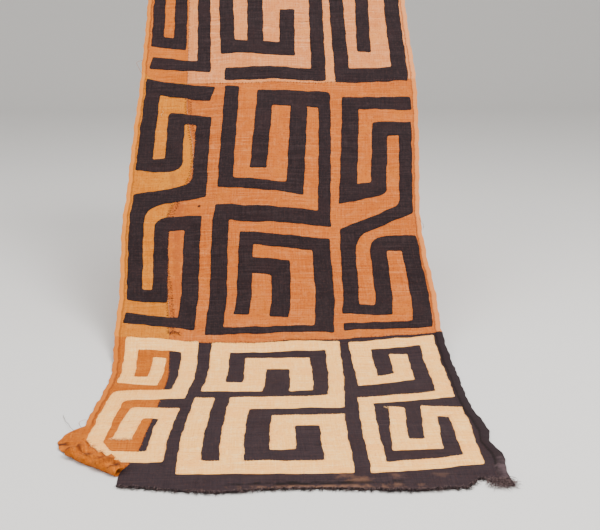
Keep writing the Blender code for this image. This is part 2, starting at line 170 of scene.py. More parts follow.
HEM_STRAY = (
    # along, how far the right hem strays outward there
    (-0.05, 0.004),
    (0.045, 0.000),
    (0.065, -0.001),
    (0.116, 0.006),
    (0.138, 0.001),
    (0.160, -0.003),
    (0.223, 0.006),
    (0.254, 0.005),
    (0.305, -0.001),
    (0.380, -0.001),
    (0.470, 0.002),
    (0.560, 0.003),
    (0.680, 0.000),
    (2.000, 0.000),
)
cockle_random = np.random.default_rng(11)
COCKLE = []
for number in range(COCKLE_WAVES):
    share = number / (COCKLE_WAVES - 1)
    length = COCKLE_LONGEST * (COCKLE_SHORTEST / COCKLE_LONGEST) ** share
    turn, start = cockle_random.uniform(0, math.tau, 2)
    COCKLE.append((length, turn, start))
print("cockle:", len(COCKLE), "waves of", COCKLE_SHORTEST, "to", COCKLE_LONGEST, "m")


def waves(table, run):
    """The sum of a few waves: each row is a height, radians per metre and a start."""
    return sum(height * np.sin(run * rate + start) for height, rate, start in table)


def lumps(table, one, other):
    """Two waves multiplied: each row is radians per metre one way and the other, and a start."""
    (a, b, start), (c, d, later) = table
    return np.sin(one * a + other * b + start) * np.sin(one * c + other * d + later)


def cockle(across, along):
    """Small unevenness of sewn cloth, from below 0 to above it."""
    total = np.zeros_like(across)
    for length, turn, start in COCKLE:
        run = across * math.cos(turn) + along * math.sin(turn)
        total += length * COCKLE_SHARE * np.sin(math.tau * run / length + start)
    return total


def fold_marks(across, along):
    """Old fold lines, pressed into the cloth."""
    total = np.zeros_like(across)
    for left, right, depth, half in FOLD_LINES:
        line = left + (right - left) * (across / WIDTH + 0.5)
        total += depth * np.exp(-((along - line) / half) ** 2)
    middle, depth, half = LONG_FOLD
    first, last = LONG_FOLD_ENDS
    inside = soft_step((along - first) / LONG_FOLD_FADE) * soft_step((last - along) / LONG_FOLD_FADE)
    return total + inside * depth * np.exp(-((across - middle) / half) ** 2)


def crumple(across, along):
    """The crushed front corner, higher in irregular lumps."""
    away = ((across - CRUMPLE_MIDDLE[0]) ** 2 + (along - CRUMPLE_MIDDLE[1]) ** 2) / CRUMPLE_REACH ** 2
    high = CRUMPLE_LEVEL + CRUMPLE_SHARE * lumps(CRUMPLE_WAVES, across, along)
    return CRUMPLE_HEIGHT * np.exp(-away) * high


def side_stray(across, along):
    """How far a rolled hem strays sideways, which fades out a little way in from it."""
    near = soft_step((np.abs(across) - WIDTH / 2 + HEM_STRAY_REACH) / HEM_STRAY_REACH)
    large = np.where(across > 0, smooth_table(HEM_STRAY, along)[..., 0], 0.0)
    return near * (waves(HEM_WAVES, along) + large)


def over_form(across, along, height, fine=1.0):
    """Lay flat points over the hanging form: rows of x, y, z."""
    across, along, height = (np.asarray(v, float) for v in (across, along, height))
    left, right = np.moveaxis(smooth_table(SIDES, along), -1, 0)
    angle = np.clip((along - FLOOR_LENGTH) / BEND_RADIUS, 0.0, SLOPE)
    past = np.maximum(along - FLOOR_LENGTH - BEND_RADIUS * SLOPE, 0.0)
    back = np.minimum(along, FLOOR_LENGTH) + BEND_RADIUS * np.sin(angle) + past * np.cos(angle)
    up = BEND_RADIUS * (1 - np.cos(angle)) + past * np.sin(angle)
    grown = soft_step((along - RIPPLE_START) / RIPPLE_RISE)
    ripple = (2 * across / WIDTH) ** 2 * SIDE_WAVE_HEIGHT * np.sin(math.tau * along / SIDE_WAVE_LENGTH)
    for wave, shift, start, tall in RIPPLES:
        ripple = ripple + tall * np.sin(math.tau * (across + shift * along) / wave + start)
    lifted = soft_step((along - LIFT_START) / LIFT_RUN)
    small = cockle(across, along) - fold_marks(across, along)
    resting = np.maximum(small, 0.0) * RESTING_SHARE + np.maximum(crumple(across, along), 0.0)
    across = across + fine * side_stray(across, along)
    out = height + grown * ripple + fine * (lifted * small + (1 - lifted) * resting)
    return np.stack((
        (left + right) / 2 + across * (right - left) / WIDTH,
        back - np.sin(angle) * out,
        up + np.cos(angle) * out,
    ), axis=-1)


HEM_HEIGHT = 0.0030
ORIGIN = over_form(0.0, LENGTH, HEM_HEIGHT / 2, fine=0.0)
ORIGIN[2] = -FLOOR_Z


def hung(points):
    """Where flat points (across, along, height) hang, in the frame of the part."""
    points = np.asarray(points, float)
    return over_form(points[..., 0], points[..., 1], points[..., 2]) - ORIGIN


print("the floor lies", round(float(-ORIGIN[2]), 4), "below the top edge")

# %% [markdown]
# ## The camera
#
# The camera stands low in front of the cloth and looks a little down at it, so that the part on
# the floor is short and wide and the hung part runs out of the top of the picture. Its place was
# worked out from the cloth's straight sides, which meet at one point for each of the two slopes.

# %% Camera at the photograph's viewing angle
PICTURE_WIDTH = 600
FOCAL_PIXELS = 1000
CAMERA_DOWN = math.radians(13.9)
CAMERA_TURN = math.radians(2.5)
CAMERA_PLACE = np.array((-0.05, -1.39, 0.70))

camera_data = bpy.data.cameras.new("camera")
camera_data.sensor_width = 36.0
camera_data.lens = camera_data.sensor_width * FOCAL_PIXELS / PICTURE_WIDTH
camera = bpy.data.objects.new("camera", camera_data)
camera.location = CAMERA_PLACE - ORIGIN
camera.rotation_euler = (math.pi / 2 - CAMERA_DOWN, 0.0, -CAMERA_TURN)
bpy.context.scene.collection.objects.link(camera)
bpy.context.scene.camera = camera
print("camera at", [round(v, 3) for v in camera.location], "lens", camera_data.lens)

# %% [markdown]
# ## Cutting the flat pieces
#
# A panel is an outline filled with points. The fill is a Delaunay triangulation, which takes any
# outline and gives even triangles, so the cloth can bend anywhere. The top and the back of a
# piece are the same triangles at two heights, joined by a narrow rim round the outline.

# %% Filling an outline
FINE_STEP = 0.0052
ROW_SHARE = 0.87
CLEAR_SHARE = 0.3
EXTRA_CLEAR_SHARE = 0.5
POINTS_AT_ONCE = 2000
SAME_PLACE = 1e-7
TINY = 1e-12
print("a point of cloth every", FINE_STEP * 1000, "mm")


def resampled(outline, step):
    """Points along a closed outline, a step apart, which keep its corners."""
    outline = np.asarray(outline, float)
    result = []
    for start, finish in zip(outline, np.roll(outline, -1, axis=0)):
        count = max(1, round(float(np.linalg.norm(finish - start)) / step))
        result += [start + (finish - start) * i / count for i in range(count)]
    return np.array(result)


def distance_to(points, starts, finishes):
    """Distance from each point to the nearest of many short lines."""
    nearest = np.full(len(points), np.inf)
    run = finishes - starts
    length = np.maximum((run ** 2).sum(1), TINY)
    for first in range(0, len(points), POINTS_AT_ONCE):
        some = slice(first, first + POINTS_AT_ONCE)
        away = points[some, None] - starts[None]
        share = np.clip((away * run).sum(2) / length, 0, 1)
        gap = away - share[..., None] * run
        nearest[some] = np.sqrt((gap ** 2).sum(2)).min(1)
    return nearest


def filled(outlines, extra=()):
    """Triangulate the area inside one or more overlapping outlines."""
    edges = [resampled(outline, FINE_STEP) for outline in outlines]
    every = np.vstack(edges)
    starts, finishes = every, np.vstack([np.roll(e, -1, axis=0) for e in edges])
    low, high = every.min(0), every.max(0)
    rows = np.arange(low[1], high[1], FINE_STEP * ROW_SHARE)
    columns = np.arange(low[0], high[0], FINE_STEP)
    grid = np.array([(x + (i % 2) * FINE_STEP / 2, y) for i, y in enumerate(rows) for x in columns])
    if len(extra):
        clear = distance_to(grid, extra, extra) > FINE_STEP * EXTRA_CLEAR_SHARE
        grid = np.vstack((grid[clear], extra))
    grid = grid[distance_to(grid, starts, finishes) > FINE_STEP * CLEAR_SHARE]
    faces, first = [], 0
    for edge in edges:
        faces.append(list(range(first, first + len(edge))))
        first += len(edge)
    points = np.vstack((every, grid))
    out = delaunay_2d_cdt([tuple(p) for p in points], [], faces, 1, SAME_PLACE)
    flat = np.array([tuple(p) for p in out[0]])
    triangles = np.array([face for face in out[2] if len(face) == 3])
    used, triangles = np.unique(triangles, return_inverse=True)
    return flat[used], triangles.reshape(-1, 3)


def rim_of(triangles):
    """The edges that only one triangle has, in that triangle's own direction."""
    runs = np.concatenate((triangles[:, [0, 1]], triangles[:, [1, 2]], triangles[:, [2, 0]]))
    _, first, uses = np.unique(np.sort(runs, axis=1), axis=0, return_index=True, return_counts=True)
    return runs[first[uses == 1]]


# %% [markdown]
# A cut piece has a face, a back and a thin rim. Its flat places are kept as its UV map in metres,
# so that the weave of every piece runs true and at one scale wherever the cloth bends. The rim is
# marked sharp, because a cut edge of cloth is crisp and would otherwise be shaded like a tube.

# %% Making a piece from flat points
SHARP_EDGE = math.radians(55.0)


def new_piece(name, points, faces, flat, surface):
    """An object whose UV map is the flat cloth, in metres."""
    mesh = bpy.data.meshes.new(name)
    mesh.from_pydata([tuple(p) for p in points], [], [tuple(int(i) for i in f) for f in faces])
    layer = mesh.uv_layers.new(name="flat")
    corners = np.zeros(len(mesh.loops), dtype=np.int64)
    mesh.loops.foreach_get("vertex_index", corners)
    layer.data.foreach_set("uv", np.asarray(flat)[corners].astype(np.float32).ravel())
    mesh.materials.append(surface)
    mesh.shade_smooth()
    piece = bpy.data.objects.new(name, mesh)
    bpy.context.scene.collection.objects.link(piece)
    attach(piece, "root")
    return piece


def cloth_piece(name, flat, triangles, low, high, surface, lay=hung):
    """A closed sheet of cloth between two heights over its back."""
    rim = rim_of(triangles)
    count = len(flat)
    top = lay(np.column_stack((flat, high)))
    back = lay(np.column_stack((flat, low)))
    sides = np.column_stack((rim[:, 1], rim[:, 0], rim[:, 0] + count, rim[:, 1] + count))
    faces = list(triangles) + list(triangles[:, ::-1] + count) + list(sides)
    piece = new_piece(name, np.vstack((top, back)), faces, np.vstack((flat, flat)), surface)
    piece.data.set_sharp_from_angle(angle=SHARP_EDGE)
    return piece


# %% [markdown]
# ## Raffia as a material
#
# Raffia is a dull, slightly waxy leaf fibre, split to strips about 1 mm wide and woven plain with
# no twist. To the eye that gives a matt cloth with fine straight lines both ways, threads that
# differ in tone, and a faint sheen at a low angle. The threads are drawn 1.9 mm apart, coarser
# than they are, because finer ones would not show in a picture of the whole cloth. The weft is
# beaten in more loosely than the warp, so most of the uneven lines run across the cloth.

# %% One helper for nodes, one for colours
THREAD_PITCH = 0.0019
WAVE_SCALE = math.tau / (20 * THREAD_PITCH)


def linear(code):
    """A hex colour as the eye sees it, turned to linear light."""
    parts = [int(code[i:i + 2], 16) / 255 for i in (1, 3, 5)]
    return [c / 12.92 if c < 0.04045 else ((c + 0.055) / 1.055) ** 2.4 for c in parts] + [1.0]


def add(tree, kind, settings=None, sockets=None):
    """Add a node, with its settings and with a value or a link for each socket named."""
    made = tree.nodes.new(kind)
    for key, value in (settings or {}).items():
        setattr(made, key, value)
    for key, value in (sockets or {}).items():
        if isinstance(value, bpy.types.NodeSocket):
            tree.links.new(value, made.inputs[key])
        else:
            made.inputs[key].default_value = value
    return made


# %% Woven raffia
WEFT_SHARE = 1.25
WARP_SHARE = 0.75
STREAKS = (
    # streaks per metre across, along and through: those of the warp, then those of the weft
    (480.0, 15.0, 1.0),
    (9.0, 430.0, 1.0),
)
PATCHES = (
    # name, patches per metre, detail, roughness
    ("blotch", 11.0, 6.0, 0.62),
    ("fleck", 210.0, 2.0, 0.7),
    ("ragged", 55.0, 5.0, 0.65),
)
HEM_SOFT = 0.001
HEM_FADE = 0.03
# Painted shade in the groove at a hem's inner line: the distances from that line where it begins and
# where it is full.
HEM_GROOVE_SHADE = (0.0026, 0.0008)
HEM_TINT_SHOWS = 0.85
HEM_GROOVE_SHADE_SHOWS = 0.75
MARK_RAG = 2.2
MARK_FADE = (2.10, 1.15)
THREAD_RELIEF = 0.0006
print("threads to the metre:", round(1 / THREAD_PITCH))


def ranged(tree, source, low, high, reach):
    """How strongly a layer shows, from 0 to reach, between two values of its source."""
    return add(tree, "ShaderNodeMapRange", {"interpolation_type": "SMOOTHSTEP"}, {
        "Value": source, "From Min": low, "From Max": high,
        "To Min": 0.0, "To Max": reach}).outputs["Result"]


def mixed(tree, below, colour, factor):
    """Lay a colour over the colours so far."""
    return add(tree, "ShaderNodeMix", {"data_type": "RGBA"}, {
        0: factor, 6: below, 7: colour}).outputs[2]


def calculated(tree, operation, *values):
    """A number worked out from one to three numbers or sockets."""
    return add(tree, "ShaderNodeMath", {"operation": operation}, dict(enumerate(values))).outputs[0]


def local_mark(tree, place, ragged, colour, mark):
    """A soft patch of another tint with a ragged outline, for stains, worn spots, darned zones and a
    painted shadow.
    """
    across, along, reach_across, reach_along, tint, strength = mark
    moved = add(tree, "ShaderNodeVectorMath", {"operation": "SUBTRACT"}, {
        0: place, 1: (across, along, 0.0)})
    sized = add(tree, "ShaderNodeVectorMath", {"operation": "DIVIDE"}, {
        0: moved.outputs[0], 1: (reach_across, reach_along, 1.0)})
    far = add(tree, "ShaderNodeVectorMath", {"operation": "LENGTH"}, {0: sized.outputs[0]})
    out = calculated(tree, "MULTIPLY_ADD", ragged, MARK_RAG, far.outputs["Value"])
    return mixed(tree, colour, linear(tint), ranged(tree, out, *MARK_FADE, strength))


def hem_tint(tree, place, colour, dark, hem):
    """A rolled hem in its own tint, with a dark line of painted shade in its groove, where it is sewn
    down.
    """
    side, reach, tint, start = hem
    split = add(tree, "ShaderNodeSeparateXYZ", {}, {0: place})
    outward = calculated(tree, "MULTIPLY", split.outputs["X"], side)
    line = WIDTH / 2 - reach
    begun = ranged(tree, split.outputs["Y"], start, start + HEM_FADE, 1.0)
    at_hem = ranged(tree, outward, line - HEM_SOFT, line + HEM_SOFT, HEM_TINT_SHOWS)
    colour = mixed(tree, colour, linear(tint), calculated(tree, "MULTIPLY", at_hem, begun))
    # Painted shade: a dark line stands in for the shadow in the groove at the hem's inner line.
    from_line = calculated(tree, "ABSOLUTE", calculated(tree, "SUBTRACT", outward, line))
    groove_shade = ranged(tree, from_line, *HEM_GROOVE_SHADE, HEM_GROOVE_SHADE_SHOWS)
    return mixed(tree, colour, linear(dark), calculated(tree, "MULTIPLY", groove_shade, begun))


def woven_raffia(name, base, light, dark, warm, speck, show=0.5, hem=None, marks=()):
    """Plain-woven raffia: two sets of threads, slubs, uneven dye, a hem's tint with painted shade in its
    groove, and local marks.
    """
    made = bpy.data.materials.new(name)
    made.use_nodes = True
    tree = made.node_tree
    shader = tree.nodes["Principled BSDF"]
    place = add(tree, "ShaderNodeUVMap", {"uv_map": "flat"}).outputs["UV"]
    wave = {"wave_type": "BANDS", "wave_profile": "SIN"}
    look = {"Scale": WAVE_SCALE, "Distortion": 2.6, "Detail": 2.0, "Detail Scale": 0.22, "Vector": place}
    warp = add(tree, "ShaderNodeTexWave", {**wave, "bands_direction": "X"}, look)
    weft = add(tree, "ShaderNodeTexWave", {**wave, "bands_direction": "Y"}, look)
    streaks = []
    for long_way in STREAKS:
        drawn = add(tree, "ShaderNodeVectorMath", {"operation": "MULTIPLY"}, {0: place, 1: long_way})
        streaks.append(add(tree, "ShaderNodeTexNoise", {"noise_dimensions": "2D"}, {
            "Vector": drawn.outputs[0], "Scale": 1.0, "Detail": 2.0, "Roughness": 0.6}).outputs["Fac"])
    patches = {}
    for kind, per_metre, detail, rough in PATCHES:
        patches[kind] = add(tree, "ShaderNodeTexNoise", {"noise_dimensions": "2D"}, {
            "Vector": place, "Scale": per_metre, "Detail": detail, "Roughness": rough}).outputs["Fac"]
    woven = calculated(tree, "MULTIPLY", warp.outputs["Fac"], weft.outputs["Fac"])
    slubs = calculated(tree, "MULTIPLY", streaks[0], WARP_SHARE)
    slubs = calculated(tree, "MULTIPLY_ADD", streaks[1], WEFT_SHARE, slubs)

    layers = (
        # tint, source, where the layer starts to show, where it shows fully, how strongly
        (light, slubs, 1.0, 1.38, show),
        (dark, slubs, 0.98, 0.60, show),
        (dark, woven, 0.30, 0.0, show * 0.4),
        (warm, patches["blotch"], 0.46, 0.72, 0.6),
        (speck, patches["fleck"], 0.54, 0.74, 0.65),
        (light, patches["ragged"], 0.52, 0.70, show * 0.35),
    )
    colour = linear(base)
    for tint, source, start, full, strength in layers:
        colour = mixed(tree, colour, linear(tint), ranged(tree, source, start, full, strength))
    if hem:
        colour = hem_tint(tree, place, colour, dark, hem)
    for mark in marks:
        colour = local_mark(tree, place, patches["ragged"], colour, mark)
    height = calculated(tree, "MULTIPLY_ADD", slubs, 0.7, woven)
    bump = add(tree, "ShaderNodeBump", {}, {"Height": height, "Strength": 0.5, "Distance": THREAD_RELIEF})
    roughness = calculated(tree, "SUBTRACT", 0.95, ranged(tree, slubs, 0.6, 1.4, 0.12))
    tree.links.new(colour, shader.inputs["Base Color"])
    tree.links.new(bump.outputs[0], shader.inputs["Normal"])
    tree.links.new(roughness, shader.inputs["Roughness"])
    shader.inputs["Specular IOR Level"].default_value = 0.10
    shader.inputs["Sheen Weight"].default_value = 0.015
    shader.inputs["Sheen Roughness"].default_value = 0.5
    return made


# %% [markdown]
# The dyes are plant and mud dyes, so no two panels match. The ground goes from pale peach at the
# top through salmon to black at the front, the narrow strips are stronger oranges, and the bands
# are black above and undyed cream below. The black is faded to brown where the edge was handled.
# Base colours are deeper than the cloth looks, because bright light on it pales them again.

# %% The dyed cloths
BLACKS = ("#21181A", "#3C2D2D", "#150E0E", "#291B1C", "#3A2522", 0.6)
DARN_LEFT = (-0.243, 1.05, 0.011, 0.40, "#96501F", 0.55)
DARN_RIGHT = (-0.222, 1.05, 0.019, 0.40, "#93481F", 0.60)
cloths = {
    "peach_ground": woven_raffia(
        "raffia_peach", "#CB7C43", "#E0A070", "#A3582B", "#CE813F", "#A0552E", 0.75,
        hem=(1, 0.013, "#CF8551", -1.0)),
    "orange_ground": woven_raffia(
        "raffia_orange", "#B65E17", "#C87A3C", "#894112", "#B8651F", "#843A14", 0.75,
        hem=(-1, 0.011, "#C67326", -1.0)),
    "salmon_ground": woven_raffia(
        "raffia_salmon", "#B25B1C", "#CA7F47", "#894015", "#B4621F", "#843917", 0.75,
        hem=(1, 0.013, "#CB7B3F", -1.0), marks=(
            DARN_RIGHT, (-0.176, 1.051, 0.005, 0.005, "#2A1410", 1.0),
            (0.312, 0.935, 0.008, 0.024, "#D9A58C", 0.7))),
    "ochre_ground": woven_raffia(
        "raffia_ochre", "#BC6A12", "#CE8736", "#92500D", "#BC741C", "#88430D", 0.75,
        hem=(-1, 0.011, "#CF7A28", -1.0), marks=(DARN_LEFT,)),
    "deep_orange_ground": woven_raffia(
        "raffia_deep_orange", "#AB5607", "#C5722A", "#80390A", "#B3600F", "#77340A", 0.75,
        hem=(-1, 0.011, "#BC661C", 0.25), marks=(
            (-0.371, 0.186, 0.014, 0.018, "#3B170B", 0.9),
            (-0.357, 0.152, 0.016, 0.014, "#33130A", 0.9),
            (-0.380, 0.114, 0.026, 0.022, "#4A1C0A", 0.9),
            (-0.352, 0.090, 0.020, 0.014, "#3B170B", 0.9),
            (-0.326, 0.070, 0.030, 0.016, "#5A230C", 0.9),
            (-0.300, 0.048, 0.024, 0.018, "#3F180A", 0.9),
            (-0.282, 0.078, 0.014, 0.012, "#5A230E", 0.8))),
    "black_ground": woven_raffia(
        "raffia_black", "#2B2024", *BLACKS[1:], hem=(1, 0.016, "#241A1C", -1.0), marks=(
            (0.088, 0.050, 0.020, 0.014, "#5C4032", 0.7),
            (0.110, 0.034, 0.030, 0.014, "#664735", 0.7),
            (0.173, 0.046, 0.016, 0.014, "#563C31", 0.7),
            (0.245, 0.050, 0.020, 0.012, "#50392F", 0.6),
            (0.045, 0.011, 0.160, 0.016, "#6F4F3D", 0.9),
            # Painted shadow: a dark line where the edge of the upper layer lies over the turned-under
            # layer below it.
            (0.045, 0.027, 0.170, 0.009, "#0E090A", 0.9),
            (0.345, 0.060, 0.014, 0.050, "#4B3C3E", 0.9),
            (-0.02, 0.000, 0.36, 0.016, "#46332E", 0.6))),
    "black_band": woven_raffia("raffia_black_band", *BLACKS),
    "cream_band": woven_raffia(
        "raffia_cream", "#FFBB5E", "#FFDD9A", "#DC9048", "#F8AA54", "#DA8252", 0.75),
}


def twisted_thread(name, code, dark):
    """Raffia thread or a loose fibre: dull, a little darker in places."""
    made = bpy.data.materials.new(name)
    made.use_nodes = True
    tree = made.node_tree
    shader = tree.nodes["Principled BSDF"]
    place = add(tree, "ShaderNodeUVMap", {"uv_map": "flat"}).outputs["UV"]
    patch = add(tree, "ShaderNodeTexNoise", {"noise_dimensions": "2D"}, {
        "Vector": place, "Scale": 320.0, "Detail": 1.0})
    factor = ranged(tree, patch.outputs["Fac"], 0.40, 0.62, 1.0)
    tree.links.new(mixed(tree, linear(code), linear(dark), factor), shader.inputs["Base Color"])
    shader.inputs["Roughness"].default_value = 0.85
    shader.inputs["Specular IOR Level"].default_value = 0.2
    return made


threads = {
    "black": twisted_thread("thread_black", "#281E20", "#171112"),
    "cream": twisted_thread("thread_cream", "#F4C27C", "#E4AC6C"),
    "orange": twisted_thread("thread_orange", "#B9682E", "#7F3C16"),
    "brown": twisted_thread("thread_brown", "#5A2D1A", "#2F1712"),
    "faded": twisted_thread("thread_faded_black", "#66524F", "#35282A"),
}
print("materials:", len(cloths) + len(threads))

# %% [markdown]
# ## The grounds
#
# Six pieces of cloth make the ground. The seams between them are not straight, so each is a short
# table with a smooth curve through it. The sides are rolled hems: the cloth's edge is turned in
# twice and sewn down, which leaves a soft ridge that puckers at each stitch.

# %% Seams and edges of the grounds
STRIP_SEAM = (
    # along, across
    (0.030, -0.268),
    (0.080, -0.266),
    (0.108, -0.256),
    (0.155, -0.244),
    (0.235, -0.237),
    (0.430, -0.235),
    (0.680, -0.234),
    (1.070, -0.231),
    (1.120, -0.209),
    (1.370, -0.228),
    (1.480, -0.232),
    (1.820, -0.238),
)
LOWER_SEAM = (
    # across, along
    (-0.350, 0.688),
    (-0.240, 0.675),
    (-0.170, 0.662),
    (0.000, 0.663),
    (0.150, 0.671),
    (0.350, 0.685),
)
UPPER_SEAM = (
    # across, along
    (-0.350, 1.476),
    (-0.325, 1.450),
    (-0.260, 1.433),
    (-0.210, 1.426),
    (0.000, 1.425),
    (0.150, 1.429),
    (0.350, 1.436),
)
FRONT_EDGE = (
    # across, along
    (-0.268, 0.030),
    (-0.230, 0.023),
    (-0.180, 0.012),
    (-0.105, 0.001),
    (-0.040, 0.009),
    (0.075, 0.007),
    (0.140, 0.001),
    (0.195, -0.005),
    (0.250, 0.000),
    (0.285, 0.009),
    (0.300, 0.031),
    (0.322, 0.019),
    (0.350, 0.003),
)
SEAM_STEP = 0.006
CROSSING_ROUNDS = 6
HEM_WIDTH = 0.012
BLACK_HEM_WIDTH = 0.015
BLACK_HEM_HEIGHT = 0.0045
TOP_HEM_WIDTH = 0.020
HEM_STITCH = 0.011
HEM_LINES = (0.0006, 0.0018, 0.0036, 0.0060, 0.0084, 0.0104, 0.0122, 0.0140)
ON_THE_SIDE = 1e-6
HEM_POINT_STEP = 0.004
HEM_POINT_INSET = 0.003
HEM_PUCKER = 0.10
EDGE_THICK = 0.0002
TOP_HEM_RISE = 0.004
SEAM_RIDGE = 0.0006
SEAM_RIDGE_REACH = 0.005


def seam_run(table, low, high, shift):
    """Points on a seam from one key to another: key, then value moved by a shift."""
    keys = np.linspace(low, high, max(2, round((high - low) / SEAM_STEP)))
    return np.column_stack((keys, smooth_table(table, keys)[:, 0] + shift))


def crossing(seam):
    """Height along the cloth where the strip's seam meets a seam that runs across."""
    across = STRIP_SEAM[0][1]
    for _ in range(CROSSING_ROUNDS):
        along = float(smooth_table(seam, across)[0])
        across = float(smooth_table(STRIP_SEAM, along)[0])
    return along


print("the strip's seam meets the others at", round(crossing(LOWER_SEAM), 3), "and",
      round(crossing(UPPER_SEAM), 3))
TOP_EDGE = ((-WIDTH / 2, LENGTH), (WIDTH / 2, LENGTH))
HALF_GAP = SEAM_GAP / 2


def panel_outline(lower, upper, low_shift, high_shift, side):
    """One ground piece: side 1 is the wide panel, side -1 the narrow strip."""
    low, high = crossing(lower), crossing(upper)
    seam = seam_run(STRIP_SEAM, low + low_shift, high + high_shift, side * HALF_GAP)
    ends = sorted((seam[0, 1], side * WIDTH / 2)), sorted((seam[-1, 1], side * WIDTH / 2))
    bottom = seam_run(lower, *ends[0], low_shift)
    top = seam_run(upper, *ends[1], high_shift)[::-1]
    seam = seam[1:-1, ::-1]
    parts = (bottom, top, seam[::-1]) if side > 0 else (bottom, seam, top)
    return np.vstack(parts)


# %% [markdown]
# A rolled hem is the same cloth turned in twice, so here it is a thicker line along the side: a
# round ridge, drawn in a little at each stitch. Where two panels meet, their turned edges lie under
# the face and raise it by about half a millimetre.

# %% Heights of a ground's top and back
def hem_lift(distance, along, width, height):
    """Top and back of a rolled hem at a distance in from the edge."""
    pucker = 1 - HEM_PUCKER * np.cos(math.tau * along / HEM_STITCH) ** 2
    roll = np.sqrt(np.clip(1 - ((distance - width / 2) / (width / 2)) ** 2, 0, 1)) * height / 2
    top = (height / 2 + roll * pucker) * (distance < width) + EDGE_THICK
    back = np.where(distance < width / 2, height / 2 - roll, 0.0)
    return top, back


def ground_heights(flat, side, width, height):
    """Heights of the top and the back of a ground piece at its flat points."""
    across, along = flat.T
    top = np.full(len(flat), GROUND_THICK)
    inward = WIDTH / 2 - side * across
    hem_top, back = hem_lift(inward, along, width, height)
    top = np.maximum(top, hem_top)
    turned = np.clip((along - LENGTH + TOP_HEM_WIDTH) / TOP_HEM_RISE, 0, 1)
    top = np.maximum(top, turned * HEM_HEIGHT)
    for seam in (LOWER_SEAM, UPPER_SEAM):
        away = along - smooth_table(seam, across)[:, 0]
        top = top + SEAM_RIDGE * np.exp(-(away / SEAM_RIDGE_REACH) ** 2)
    return back, top


def hem_points(outline, side):
    """Rows of points that run along the rolled hem at the cloth's side."""
    on_side = outline[np.abs(outline[:, 0] - side * WIDTH / 2) < ON_THE_SIDE]
    low = on_side[:, 1].min() + HEM_POINT_INSET
    high = on_side[:, 1].max() - HEM_POINT_INSET
    along = np.arange(low, high, HEM_POINT_STEP)
    return np.vstack([np.column_stack((np.full(len(along), side * (WIDTH / 2 - d)), along))
                      for d in HEM_LINES])


GROUNDS = (
    # name, lower seam, upper seam, panel's slot, strip's slot
    ("middle", LOWER_SEAM, UPPER_SEAM, "salmon_ground", "ochre_ground"),
    ("top", UPPER_SEAM, TOP_EDGE, "peach_ground", "orange_ground"),
)
for name, lower, upper, panel_slot, strip_slot in GROUNDS:
    shift = 0.0 if name == "top" else -HALF_GAP
    for kind, side, slot in (("panel", 1, panel_slot), ("strip", -1, strip_slot)):
        outline = panel_outline(lower, upper, HALF_GAP, shift, side)
        flat, triangles = filled([outline], hem_points(outline, side))
        back, top = ground_heights(flat, side, HEM_WIDTH, HEM_HEIGHT)
        piece = cloth_piece(f"{name}_{kind}_cloth", flat, triangles, back, top, cloths[slot])
        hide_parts(f"{name}_{kind}")

# %% [markdown]
# The black panel at the front ends in a raw edge. The front corner of the narrow strip beside it
# is crushed: its side bulges out and the corner is folded up and back over the cloth.

# %% The front panel and its curled strip
CURL_LEFT = np.array((-0.358, 0.141))
CURL_RIGHT = np.array((-0.269, 0.066))
CURL_RADIUS = 0.007
CURL_TURN = math.radians(187.0)
CURL_LENGTH_LEFT = 0.066
CURL_LENGTH_RIGHT = 0.042
BULGE = (
    # across, along
    (-0.350, 0.266),
    (-0.363, 0.250),
    (-0.376, 0.222),
    (-0.382, 0.198),
    (-0.373, 0.168),
)
CURL_LUMPS = ((0.20, 190, 0.0), (0.14, 83, 1.3))
CURL_WAVES = ((260, 120, 0.0), (70, 210, 0.0))
CURL_WAVE_HEIGHT = 0.0021
CREASE_RUN = (130, -90, 0.7)
CREASE_HEIGHT = 0.0018
CREASE_LEVEL = 0.5
CRUSH_REACH = 0.02
FRONT_RAGS = ((0.0015, 410, 0.0), (0.0012, 137, 2.0))
FLAP_RAGS = ((0.0030, 31, 0.6), (0.0022, 83, 0.0))
FLAP_POINTS = 24
curl_run = (CURL_RIGHT - CURL_LEFT) / np.linalg.norm(CURL_RIGHT - CURL_LEFT)
curl_past = np.array((curl_run[1], -curl_run[0]))


def curled(points):
    """Lay the front strip: past the curl line it turns up and folds back, crumpled."""
    points = np.asarray(points, float)
    offset = points[:, :2] - CURL_LEFT
    beyond = np.maximum(offset @ curl_past, 0.0)
    along_line = offset @ curl_run
    lump = 1 + waves(CURL_LUMPS, along_line)
    angle = np.minimum(beyond / CURL_RADIUS, CURL_TURN)
    straight = beyond - CURL_RADIUS * angle
    radius = (CURL_RADIUS - points[:, 2]) * lump
    reach = radius * np.sin(angle) + straight * np.cos(angle)
    spot = CURL_LEFT + along_line[:, None] * curl_run + curl_past * reach[:, None]
    rolled = hung(np.column_stack((spot, np.zeros(len(spot)))))
    rolled[:, 2] += CURL_RADIUS * lump - radius * np.cos(angle) + straight * np.sin(angle)
    waved = lumps(CURL_WAVES, along_line, beyond)
    one, other, start = CREASE_RUN
    creased = np.abs(np.sin(along_line * one + beyond * other + start)) - CREASE_LEVEL
    crushed = CURL_WAVE_HEIGHT * waved + CREASE_HEIGHT * creased
    rolled[:, 2] += crushed * soft_step(beyond / CRUSH_REACH)
    return np.where((beyond > 0)[:, None], rolled, hung(points))


def front_panel_outline():
    """The front panel: uneven front edge, rolled side, and the two seams."""
    edge = seam_run(FRONT_EDGE, FRONT_EDGE[0][0], WIDTH / 2, 0.0)
    edge[:, 1] += waves(FRONT_RAGS, edge[:, 0])
    high = crossing(LOWER_SEAM)
    seam = seam_run(STRIP_SEAM, edge[0, 1], high - HALF_GAP, HALF_GAP)
    top = seam_run(LOWER_SEAM, seam[-1, 1], WIDTH / 2, -HALF_GAP)[::-1]
    return np.vstack((edge, top, seam[1:-1, ::-1][::-1]))


def flap_edge(shares, inset=0.0):
    """Places at shares of the way along the flap's free edge, some way in from it."""
    left = CURL_LEFT + curl_past * (CURL_LENGTH_LEFT - inset)
    right = CURL_RIGHT + curl_past * (CURL_LENGTH_RIGHT - inset)
    return left + (right - left) * shares


